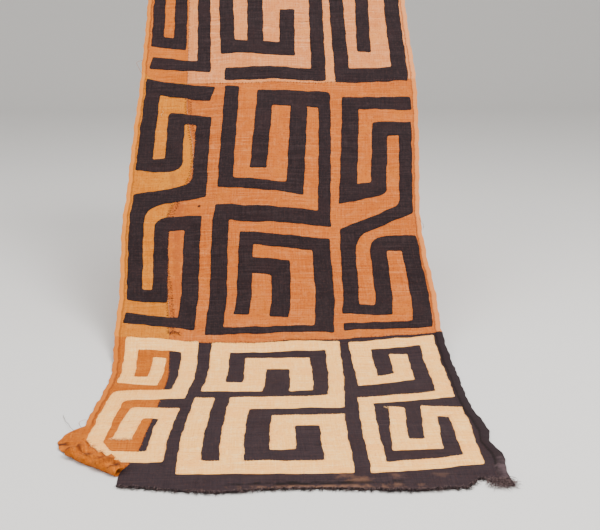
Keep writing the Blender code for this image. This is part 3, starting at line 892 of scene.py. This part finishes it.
def front_strip_outline():
    """The front strip with its bulge and the flap, whose free edge is ragged."""
    shares = np.linspace(0, 1, FLAP_POINTS)[:, None]
    flap = flap_edge(shares) + curl_past * waves(FLAP_RAGS, shares)
    high = crossing(LOWER_SEAM)
    seam = seam_run(STRIP_SEAM, CURL_RIGHT[1], high - HALF_GAP, -HALF_GAP)
    top = seam_run(LOWER_SEAM, -WIDTH / 2, seam[-1, 1], -HALF_GAP)[::-1]
    return np.vstack((BULGE, CURL_LEFT, flap, CURL_RIGHT, seam[1:-1, ::-1], top))


outline = front_panel_outline()
flat, triangles = filled([outline], hem_points(outline, 1))
back, top = ground_heights(flat, 1, BLACK_HEM_WIDTH, BLACK_HEM_HEIGHT)
slot = "black_ground"
piece = cloth_piece("bottom_panel_cloth", flat, triangles, back, top, cloths[slot])
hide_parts("bottom_panel")

outline = front_strip_outline()
flat, triangles = filled([outline])
back, top = ground_heights(flat, -1, HEM_WIDTH, HEM_HEIGHT)
slot = "deep_orange_ground"
piece = cloth_piece("bottom_strip_cloth", flat, triangles, back, top, cloths[slot], curled)
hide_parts("bottom_strip")

# %% [markdown]
# ## The applied bands
#
# Each band is one long strip of cloth, cut and folded round its corners by hand. It is charted as
# the corners of its middle line with the width of each run, which is how one would plan it on
# squared paper. A few corners were cut as curves. The edges are turned under, so they stand a
# little higher than the middle, and they waver because nobody ruled them.

# %% Charts of the bands, in millimetres
TOP_LEFT = ((-318, 1780, 32), (-316, 1575, 40), (-257, 1565, 34), (-259, 1765, 34),
            (-198, 1765, 34), (-192, 1482, 38), (-328, 1500, 38))
TOP_CENTRE = ((-138, 1455, 42), (100, 1455, 37), (105, 1775, 38), (-140, 1775, 38),
              (-132, 1545, 46), (22, 1540, 40), (26, 1680, 40))
TOP_CENTRE_LEG = ((-60, 1545, 42), (-60, 1715, 42))
TOP_RIGHT = ((222, 1530, 36), (232, 1775, 38), (312, 1775, 42), (308, 1453, 47),
             (160, 1450, 38), (160, 1775, 38))
MIDDLE_LEFT = ((-165, 1388, 44), (-316, 1422, 38), (-316, 1178, 40), (-245, 1175, 42),
               (-250, 1322, 30), (-182, 1305, 36), (-180, 1095, 44), (-317, 1070, 34),
               (-317, 813, 32), (-261, 807, 34), (-258, 1005, 40), (-186, 1003, 38),
               (-200, 727, 33), (-333, 745, 33))
MIDDLE_CENTRE = ((-42, 1155, 40), (-35, 1375, 50), (113, 1372, 30), (120, 1013, 44),
                 (-120, 1030, 38), (-140, 700, 22), (97, 705, 42), (107, 940, 34),
                 (-63, 958, 33), (-82, 750, 33))
MIDDLE_CENTRE_BAR = ((-118, 1412, 36), (-119, 1115, 30), (48, 1097, 42), (50, 1375, 42))
MIDDLE_CENTRE_HOOK = ((-70, 885, 42), (10, 878, 42), (0, 742, 42))
MIDDLE_RIGHT = ((333, 1360, 40), (178, 1360, 42), (175, 1082, 46), (248, 1098, 38),
                (250, 1278, 42), (313, 1280, 34), (315, 1035, 34), (172, 973, 35),
                (156, 763, 28), (229, 760, 38), (239, 943, 42), (313, 942, 42),
                (312, 715, 24), (140, 710, 24))
BOTTOM_LEFT = ((-253, 605, 28), (-263, 487, 44), (-318, 495, 28), (-312, 664, 40),
               (-190, 648, 34), (-204, 413, 50), (-318, 412, 30), (-319, 190, 28),
               (-297, 138, 42), (-215, 132, 30), (-208, 318, 52), (-268, 323, 34),
               (-275, 205, 34))
BOTTOM_CENTRE = ((34, 420, 46), (35, 572, 54), (-56, 572, 44), (-62, 446, 48),
                 (-140, 450, 40), (-126, 642, 36), (110, 645, 31), (100, 363, 60),
                 (-83, 363, 40), (-91, 90, 40))
BOTTOM_CENTRE_HOOK = ((-150, 393, 38), (-160, 90, 48), (83, 83, 46), (88, 277, 50),
                      (0, 276, 44), (-4, 152, 44))
BOTTOM_RIGHT = ((246, 610, 38), (242, 487, 42), (168, 469, 44), (167, 643, 32),
                (313, 659, 33), (312, 390, 34), (155, 365, 28), (146, 76, 38),
                (303, 98, 30), (316, 303, 48), (267, 310, 28), (250, 165, 45),
                (194, 164, 29), (210, 328, 29))
SMALL_ROUND = 4
SOFT_CORNERS = {
    # corner's across, along: outer radius, inner radius
    (-245, 1175): (30, SMALL_ROUND),
    (-250, 1322): (14, SMALL_ROUND),
    (-180, 1095): (SMALL_ROUND, 30),
    (-317, 1070): (SMALL_ROUND, 40),
    (-258, 1005): (38, SMALL_ROUND),
    (113, 1372): (14, SMALL_ROUND),
    (248, 1098): (18, SMALL_ROUND),
    (315, 1035): (SMALL_ROUND, 20),
    (172, 973): (SMALL_ROUND, 40),
    (239, 943): (44, SMALL_ROUND),
    (-318, 412): (24, 16),
    (-268, 323): (14, 12),
}
ROUND_SHARE = 0.42
ARC_TURN = 12
WAVER = 0.0011
WAVER_WAVES = (
    # wavelength, share
    (0.085, 0.55),
    (0.043, 0.40),
    (0.021, 0.22),
)


def band_corner(before, corner, after, width_in, width_out, side):
    """Where the two runs' edges meet at one side of the middle line."""
    run_in = (corner - before) / np.linalg.norm(corner - before)
    run_out = (after - corner) / np.linalg.norm(after - corner)
    start = corner + np.array((-run_in[1], run_in[0])) * side * width_in / 2
    finish = corner + np.array((-run_out[1], run_out[0])) * side * width_out / 2
    turn = run_in[0] * run_out[1] - run_in[1] * run_out[0]
    gap = finish - start
    return start + run_in * (gap[0] * run_out[1] - gap[1] * run_out[0]) / turn


def band_outline(rows):
    """A band's outline, up one side of its middle line and down the other, with soft corners."""
    points = np.array([row[:2] for row in rows]) / 1000
    widths = [row[2] / 1000 for row in rows[:-1]]
    outline, radii = [], []
    for side in (1, -1):
        edge, rounds = [], []
        for i, point in enumerate(points):
            if 0 < i < len(points) - 1:
                before, after = points[i - 1], points[i + 1]
                edge.append(band_corner(before, point, after, widths[i - 1], widths[i], side))
                run_in, run_out = point - before, after - point
                turn = run_in[0] * run_out[1] - run_in[1] * run_out[0]
                outer, inner = SOFT_CORNERS.get(rows[i][:2], (SMALL_ROUND, SMALL_ROUND))
                rounds.append(inner if side * turn > 0 else outer)
                continue
            run = points[1] - point if i == 0 else point - points[-2]
            run = run / np.linalg.norm(run)
            half = (widths[0] if i == 0 else widths[-1]) / 2
            edge.append(point + np.array((-run[1], run[0])) * side * half)
            rounds.append(SMALL_ROUND)
        outline += edge[::side]
        radii += rounds[::side]
    return softened(outline, radii)


def softened(outline, radii):
    """Arcs in place of the corners, each of its own radius in millimetres."""
    result = []
    for i, (corner, radius) in enumerate(zip(outline, radii)):
        before, after = outline[i - 1] - corner, outline[(i + 1) % len(outline)] - corner
        lengths = np.linalg.norm(before), np.linalg.norm(after)
        reach = min(radius / 1000, ROUND_SHARE * min(lengths))
        start, finish = corner + before / lengths[0] * reach, corner + after / lengths[1] * reach
        for share in np.linspace(0, 1, 3 + round(reach * 1000 / ARC_TURN)):
            result.append(start * (1 - share) ** 2 + corner * 2 * share * (1 - share)
                          + finish * share ** 2)
    return np.array(result)


def wavered(outline, seed):
    """An outline cut by eye: it strays a little to either side."""
    points = resampled(outline, FINE_STEP)
    steps = np.linalg.norm(np.roll(points, -1, axis=0) - points, axis=1)
    travelled = np.concatenate(((0.0,), np.cumsum(steps)[:-1]))
    around = steps.sum()
    run = np.roll(points, -1, axis=0) - np.roll(points, 1, axis=0)
    run /= np.linalg.norm(run, axis=1)[:, None]
    random = np.random.default_rng(seed)
    stray = np.zeros(len(points))
    for length, share in WAVER_WAVES:
        turns = round(around / length)
        stray += share * np.sin(math.tau * turns * travelled / around + random.uniform(0, math.tau))
    return points + np.column_stack((-run[:, 1], run[:, 0])) * (stray * WAVER)[:, None]


# %% [markdown]
# The bands lie on the grounds with a fine gap, as sewn cloth does. Towards its edge a band gets
# thin and comes down on the ground, outside the low ridge that the turned-under cloth makes.

# %% Laying the bands on the grounds
BANDS = (
    # name, charts that make up the piece, slot
    ("top_left_band", (TOP_LEFT,), "black_band"),
    ("top_centre_band", (TOP_CENTRE, TOP_CENTRE_LEG), "black_band"),
    ("top_right_band", (TOP_RIGHT,), "black_band"),
    ("middle_left_band", (MIDDLE_LEFT,), "black_band"),
    ("middle_centre_band", (MIDDLE_CENTRE, MIDDLE_CENTRE_BAR, MIDDLE_CENTRE_HOOK), "black_band"),
    ("middle_right_band", (MIDDLE_RIGHT,), "black_band"),
    ("bottom_left_band", (BOTTOM_LEFT,), "cream_band"),
    ("bottom_centre_band", (BOTTOM_CENTRE, BOTTOM_CENTRE_HOOK), "cream_band"),
    ("bottom_right_band", (BOTTOM_RIGHT,), "cream_band"),
)
BAND_LOW = GROUND_THICK + PLY_GAP
EDGE_REACH = 0.0022
TURNED_RIDGE = 0.0005
RIDGE_INSET = 0.0045
RIDGE_REACH = 0.003
EDGE_DROP = 1.20
EDGE_HUGS = 0.00025
FIRST_SEED = 40
SEEDS_PER_BAND = 5
band_rims = {}
for seed, (name, charts, slot) in enumerate(BANDS):
    outlines = [wavered(band_outline(chart), FIRST_SEED + seed * SEEDS_PER_BAND + i)
                for i, chart in enumerate(charts)]
    flat, triangles = filled(outlines)
    rim = rim_of(triangles)
    inside = distance_to(flat, flat[rim[:, 0]], flat[rim[:, 1]])
    at_edge = np.exp(-(inside / EDGE_REACH) ** 2)
    ridge = TURNED_RIDGE * np.exp(-((inside - RIDGE_INSET) / RIDGE_REACH) ** 2)
    top = BAND_LOW + BAND_THICK * (1 - EDGE_DROP * at_edge) + ridge
    low = BAND_LOW - EDGE_HUGS * at_edge
    piece = cloth_piece(f"{name}_cloth", flat, triangles, low, top, cloths[slot])
    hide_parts(name)
    band_rims[name] = (flat[rim], slot)

# %% [markdown]
# ## Sewing
#
# Every seam and every band is sewn by hand with raffia thread. A stitch is a thin tube that comes
# out of the cloth, lies on it and goes in again, so it is drawn flat with a height at each point
# and laid over the form like the cloth. Thousands of them are one piece of mesh.

# %% Threads as thin tubes
TUBE_SIDES = 4
TUBE_TAPER = 0.35
NO_THREAD_RUNS = (0.13, -0.35, 0.93)
STITCH_SHARES = np.array((-0.5, -0.3, 0.3, 0.5))


def thread_piece(name, paths, radius, surface, lay=hung):
    """Many threads with the same number of points each, as thin tubes that narrow at the ends."""
    paths = np.asarray(paths, float)
    count, points = paths.shape[:2]
    places = lay(paths.reshape(-1, 3)).reshape(paths.shape)
    run = np.gradient(places, axis=1)
    run /= np.linalg.norm(run, axis=2, keepdims=True) + TINY
    out = np.cross(run, NO_THREAD_RUNS)
    out /= np.linalg.norm(out, axis=2, keepdims=True) + TINY
    over = np.cross(out, run)
    thick = np.full((points, 1), radius)
    thick[[0, -1]] *= TUBE_TAPER
    rings = [places + thick * (math.cos(turn) * out + math.sin(turn) * over)
             for turn in np.arange(TUBE_SIDES) * math.tau / TUBE_SIDES]
    corners = np.stack(rings, axis=2).reshape(-1, 3)
    flat = np.repeat(paths[..., :2], TUBE_SIDES, axis=1).reshape(-1, 2)
    first = (np.arange(count) * points)[:, None, None] + np.arange(points - 1)[None, :, None]
    low = first * TUBE_SIDES
    here = np.arange(TUBE_SIDES)[None, None, :]
    after = (here + 1) % TUBE_SIDES
    faces = np.stack((low + here, low + after, low + TUBE_SIDES + after, low + TUBE_SIDES + here),
                     axis=-1).reshape(-1, 4)
    print(name, count, "threads,", len(faces) * 2, "triangles")
    return new_piece(name, corners, faces, flat, surface)


def stitch_paths(middles, turns, lengths, heights):
    """Stitches through their middles at an angle, with a height at each of four points."""
    run = np.column_stack((np.cos(turns), np.sin(turns)))
    reach = np.broadcast_to(lengths, (len(middles),))[:, None] * STITCH_SHARES
    spots = middles[:, None] + run[:, None] * reach[..., None]
    high = np.broadcast_to(heights, (len(middles), 4))[..., None]
    return np.concatenate((spots, high), axis=2)


# %% Stitches over the edges of the bands
EDGE_STITCH = 0.0038
EDGE_STITCH_SHARE = 0.72
EDGE_HEIGHTS = (0.0008, 0.0021, 0.0032, 0.0022)
EDGE_THREAD = 0.00036
EDGE_INSETS = (0.0009, 0.0017)
EDGE_LEAN = (0.30, 0.25)  # mean and spread
EDGE_LENGTHS = (0.75, 1.25)
sewing = np.random.default_rng(23)
for row_slot, thread in (("black_band", "black"), ("cream_band", "cream")):
    ends = np.vstack([rim for rim, slot in band_rims.values() if slot == row_slot])
    ends = ends[sewing.random(len(ends)) < EDGE_STITCH_SHARE]
    run = ends[:, 1] - ends[:, 0]
    run /= np.linalg.norm(run, axis=1)[:, None]
    inward = np.column_stack((-run[:, 1], run[:, 0]))
    middles = ends.mean(1) + inward * sewing.uniform(*EDGE_INSETS, len(ends))[:, None]
    turns = np.arctan2(inward[:, 1], inward[:, 0]) + sewing.normal(*EDGE_LEAN, len(ends))
    lengths = EDGE_STITCH * sewing.uniform(*EDGE_LENGTHS, len(ends))
    paths = stitch_paths(middles, turns, lengths, EDGE_HEIGHTS)
    thread_piece(f"{row_slot}_stitches", paths, EDGE_THREAD, threads[thread])

# %% [markdown]
# The strip's seam was mended: over most of its height it is covered with darning, a reddish brown
# band of two rows of short stitches. The seams that run across are overcast, and the hems are
# held by small stitches at their inner line.

# %% Darning, seams and hems
PITCH_STRAY = 0.16
SIDE_STRAY = 0.0007
TURN_STRAY = 0.28
LENGTH_STRAY = (0.7, 1.3)
STITCH_ENTRY = 0.0007
DARNED = (0.695, 1.400)
HEM_SEWN = {1: (0.70, 1.80), -1: (0.28, 1.80)}


def seam_stitches(table, low, high, pitch, shift, turn, length, top, key_first=True):
    """Stitches at an even pitch along a seam, a little uneven in place, angle and length."""
    keys = np.arange(low, high, pitch)
    keys = keys + sewing.normal(0, pitch * PITCH_STRAY, len(keys))
    values = smooth_table(table, keys)[:, 0] + shift + sewing.normal(0, SIDE_STRAY, len(keys))
    middles = np.column_stack((keys, values) if key_first else (values, keys))
    turns = turn + sewing.normal(0, TURN_STRAY, len(keys))
    lengths = length * sewing.uniform(*LENGTH_STRAY, len(keys))
    return stitch_paths(middles, turns, lengths, (STITCH_ENTRY, top, top, STITCH_ENTRY))


def hem_row(side):
    """The row of stitches along the inner line of a side hem."""
    low, high = HEM_SEWN[side]
    line = side * (WIDTH / 2 - HEM_WIDTH)
    return ((low, line), (high, line)), low, high, HEM_STITCH, 0.0, 0.7, 0.0050, 0.0030, False


SEWN = (
    # piece, thread's radius, thread, slot, rows
    # columns of a row: seam, from, to, pitch, shift, turn, length, height, key first
    ("darning", 0.00045, "brown", "ochre_ground", (
        (STRIP_SEAM, *DARNED, 0.0075, -0.0040, 0.45, 0.0060, 0.0023, False),
        (STRIP_SEAM, *DARNED, 0.0075, 0.0095, -0.40, 0.0060, 0.0023, False),
        (STRIP_SEAM, 1.44, 1.80, 0.0110, 0.0, 0.4, 0.0045, 0.0021, False))),
    ("darning_under", 0.00050, "orange", "ochre_ground", (
        (STRIP_SEAM, *DARNED, 0.0046, -0.0005, 0.15, 0.0095, 0.0019, False),
        (STRIP_SEAM, *DARNED, 0.0046, 0.0070, -0.12, 0.0095, 0.0019, False),
        (STRIP_SEAM, 0.09, 0.68, 0.0075, 0.0, 0.5, 0.0052, 0.0022, False))),
    ("seam_stitches", 0.00042, "brown", "salmon_ground", (
        (LOWER_SEAM, -0.200, 0.060, 0.0042, 0.0, 1.35, 0.0085, 0.0030),
        (LOWER_SEAM, 0.060, 0.335, 0.0085, 0.0, 1.15, 0.0060, 0.0029),
        (LOWER_SEAM, 0.130, 0.330, 0.0046, -0.017, 0.0, 0.0040, 0.0020),
        (UPPER_SEAM, -0.180, 0.335, 0.0080, 0.0, 1.15, 0.0060, 0.0029))),
    ("hem_stitches", 0.00040, "orange", "salmon_ground", (hem_row(1), hem_row(-1))),
)
for name, radius, thread, slot, rows in SEWN:
    paths = np.vstack([seam_stitches(*row) for row in rows])
    thread_piece(name, paths, radius, threads[thread])

# %% [markdown]
# ## Frays and loose threads
#
# Raffia does not unravel softly like cotton. Cut ends split and stand off as short stiff fibres,
# longest where the hem at the front right corner has come undone.

# %% Frayed edges
FRAY_POINTS = 5
FRAY_SHORT_BIAS = 2.2
FRAY_CURL = 0.7
FRAY_ARCH = 0.8
FRAY_LOW = 0.0004
FRAY_ROOT = 0.002
FRINGED = (-0.266, 0.345)
CLUMPS = ((0.004, 420, 0.0), (0.002, 1310, 0.0))
fraying = np.random.default_rng(31)


def frayed(spots, aim, spread, shortest, longest, lift, start):
    """Loose fibres from flat spots, roughly towards an angle, lying down at their ends."""
    count = len(spots)
    shares = np.linspace(0, 1, FRAY_POINTS)
    lengths = shortest + (longest - shortest) * fraying.random(count) ** FRAY_SHORT_BIAS
    angles = aim + fraying.normal(0, spread, count)[:, None]
    angles = angles + fraying.normal(0, FRAY_CURL, count)[:, None] * shares
    stride = (lengths / (FRAY_POINTS - 1))[:, None, None]
    steps = np.stack((np.cos(angles), np.sin(angles)), axis=2) * stride
    places = spots[:, None] + np.cumsum(steps, axis=1) - steps[:, :1]
    raised = fraying.random(count)[:, None] * lift * np.sin(math.pi * shares * FRAY_ARCH)
    high = start * (1 - shares) + FRAY_LOW * shares + raised
    return np.concatenate((places, high[..., None]), axis=2)


def edge_spots(count):
    """Places just inside the front edge, in loose clumps."""
    across = fraying.uniform(*FRINGED, count)
    across += waves(CLUMPS, across)
    return np.column_stack((across, smooth_table(FRONT_EDGE, across)[:, 0] + FRAY_ROOT))


FRONT_ANGLE = -math.pi / 2
FRINGES = (
    # piece, thread, radius, fibres, spread, shortest, longest, lift, start
    ("front_fringe_dark", "black", 0.00030, 1900, 0.50, 0.004, 0.015, 0.004, 0.0010),
    ("front_fringe_faded", "faded", 0.00028, 800, 0.60, 0.004, 0.017, 0.005, 0.0012),
)
for name, thread, radius, count, *way in FRINGES:
    fibres = frayed(edge_spots(count), FRONT_ANGLE, *way)
    thread_piece(name, fibres, radius, threads[thread])
TAIL_FIBRES = 260
TAIL_ACROSS, TAIL_ALONG = (0.312, 0.350), (0.004, 0.030)
TAIL_ANGLE = FRONT_ANGLE + 0.45
tail = [fraying.uniform(*ends, TAIL_FIBRES) for ends in (TAIL_ACROSS, TAIL_ALONG)]
fibres = frayed(np.column_stack(tail), TAIL_ANGLE, 0.75, 0.006, 0.026, 0.006, 0.0030)
thread_piece("hem_tail", fibres, 0.00030, threads["faded"])
FRAYED_ENDS = (
    # across, along, reach across, aim, fibres
    (-0.276, 0.205, 0.017, -1.6, 70),
    (-0.326, 0.178, 0.014, -1.7, 40),
    (0.193, 0.326, 0.010, -1.2, 10),
    (0.298, 0.284, 0.008, -0.8, 8),
    (0.200, 0.168, 0.006, 2.6, 8),
)
groups = []
for across, along, reach, aim, count in FRAYED_ENDS:
    spots = np.column_stack((fraying.uniform(across - reach, across + reach, count),
                             fraying.normal(along, 0.0015, count)))
    groups.append(frayed(spots, aim, 0.7, 0.003, 0.011, 0.004, 0.0030))
thread_piece("cream_frays", np.vstack(groups), 0.00026, threads["cream"])
FLAP_AIM = math.atan2(curl_past[1], curl_past[0])
for thread, count in (("orange", 150), ("cream", 26)):
    spots = flap_edge(fraying.random(count)[:, None], FRAY_ROOT)
    fibres = frayed(spots, FLAP_AIM, 0.6, 0.003, 0.010, 0.001, 0.0006)
    thread_piece(f"flap_frays_{thread}", fibres, 0.00028, threads[thread],
                 curled)

# %% [markdown]
# A few single threads have worked loose. Each is a short row of listed points with a smooth
# curve through them. Three thick ones cross in a knot at the end of the darned seam.

# %% Loose threads and a knot
LOOSE = (
    # thread, radius in millimetres, points as across, along, height in millimetres
    ("faded", 0.35, ((-400, 322, 1), (-388, 290, 2), (-372, 256, 4), (-360, 238, 3))),
    ("orange", 0.40, ((-352, 256, 2), (-361, 270, 7), (-354, 286, 5), (-345, 290, 2))),
    ("orange", 0.40, ((-345, 1508, 3), (-362, 1496, 5), (-356, 1476, 7), (-347, 1462, 3))),
    ("brown", 0.35, ((344, 1010, 3), (351, 996, 4), (354, 986, 5), (352, 976, 3))),
    ("cream", 0.40, ((-287, 1347, 2), (-284, 1339, 4), (-288, 1333, 4), (-286, 1325, 2))),
    ("brown", 0.30, ((54, 1638, 1.5), (67, 1634, 1.9), (80, 1637, 1.9), (95, 1633, 1.5))),
    ("brown", 0.80, ((-238, 700, 2), (-230, 694, 5), (-220, 697, 5), (-210, 688, 2))),
    ("brown", 0.75, ((-234, 688, 2), (-228, 697, 6), (-219, 692, 6), (-212, 700, 2))),
    ("orange", 0.70, ((-226, 704, 2), (-224, 696, 7), (-226, 690, 6), (-221, 682, 2))),
)
LOOSE_POINTS = 13
for number, (thread, radius, points) in enumerate(LOOSE):
    points = np.array(points) / 1000
    table = np.column_stack((np.arange(len(points)), points))
    path = smooth_table(table, np.linspace(0, len(points) - 1, LOOSE_POINTS))
    slot = {"faded": "black_ground", "cream": "cream_band"}.get(thread, "ochre_ground")
    thread_piece(f"loose_thread_{number}", path[None], radius / 1000, threads[thread])

# %% [markdown]
# ## Stage, light and the end
#
# A pale floor that sweeps up far behind the cloth, and three large soft lights: the key stands
# high on the right, where the photographed cloth is brightest.

# %% Floor and lights
def smooth_matte(name, code, roughness):
    """Paper-like backdrop with a very slight mottle."""
    made = bpy.data.materials.new(name)
    made.use_nodes = True
    tree = made.node_tree
    shader = tree.nodes["Principled BSDF"]
    mottle = add(tree, "ShaderNodeTexNoise", {}, {"Scale": 3.0, "Detail": 3.0})
    colour = add(tree, "ShaderNodeMix", {"data_type": "RGBA"}, {
        0: mottle.outputs["Fac"], 6: linear(code), 7: [c * 0.97 for c in linear(code)]})
    tree.links.new(colour.outputs[2], shader.inputs["Base Color"])
    shader.inputs["Roughness"].default_value = roughness
    return made


SWEEP_FRONT, SWEEP_BACK, SWEEP_RADIUS, SWEEP_TOP, SWEEP_HALF = -9.0, 5.0, 2.5, 5.0, 9.0
SWEEP_STEPS = 16
FLOOR_CLEAR = 0.0002
WORLD_STRENGTH = 0.95
profile = [(SWEEP_FRONT, 0.0), (SWEEP_BACK, 0.0)]
for i in range(1, SWEEP_STEPS + 1):
    angle = math.pi / 2 * i / SWEEP_STEPS
    profile.append((SWEEP_BACK + SWEEP_RADIUS * math.sin(angle), SWEEP_RADIUS * (1 - math.cos(angle))))
profile.append((SWEEP_BACK + SWEEP_RADIUS, SWEEP_TOP))
sweep = bpy.data.meshes.new("floor")
sweep.from_pydata(
    [(x, y, FLOOR_Z - FLOOR_CLEAR + z) for y, z in profile for x in (-SWEEP_HALF, SWEEP_HALF)], [],
    [(2 * i, 2 * i + 1, 2 * i + 3, 2 * i + 2) for i in range(len(profile) - 1)])
sweep.materials.append(smooth_matte("backdrop_paper", "#CFCCC8", 0.9))
sweep.shade_smooth()
floor = bpy.data.objects.new("floor", sweep)
bpy.context.scene.collection.objects.link(floor)
floor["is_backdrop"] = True

LIGHTS = (
    # name, place, aim, size, power
    ("key", (1.7, -2.6, 2.1), (0.0, -0.9, -0.6), 1.6, 180.0),
    ("fill", (-2.3, -2.4, 1.6), (0.0, -0.8, -0.6), 2.2, 55.0),
    ("above", (0.0, -0.4, 2.8), (0.0, -0.7, -0.6), 2.0, 58.0),
)
for name, place, aim, size, power in LIGHTS:
    data = bpy.data.lights.new(name, "AREA")
    data.size = size
    data.energy = power
    light = bpy.data.objects.new(name, data)
    light.location = place
    towards = np.array(aim) - np.array(place)
    flat_reach = math.hypot(towards[0], towards[1])
    light.rotation_euler = (math.atan2(flat_reach, -towards[2]), 0.0,
                            math.atan2(towards[1], towards[0]) - math.pi / 2)
    bpy.context.scene.collection.objects.link(light)
world = bpy.data.worlds.new("studio")
world.use_nodes = True
world.node_tree.nodes["Background"].inputs["Color"].default_value = (1.0, 1.0, 1.0, 1.0)
world.node_tree.nodes["Background"].inputs["Strength"].default_value = WORLD_STRENGTH
bpy.context.scene.world = world
print("lights:", [light[0] for light in LIGHTS])

# %% [markdown]
# ## How far the cloth reaches
#
# The last step finds the bounds of everything drawn and prints how far they reach beyond the
# part's solids.

# %% The end
low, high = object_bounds()
print("grown beyond the part:", [round(a - b, 4) for a, b in zip(cad_low, low)],
      [round(b - a, 4) for a, b in zip(cad_high, high)])
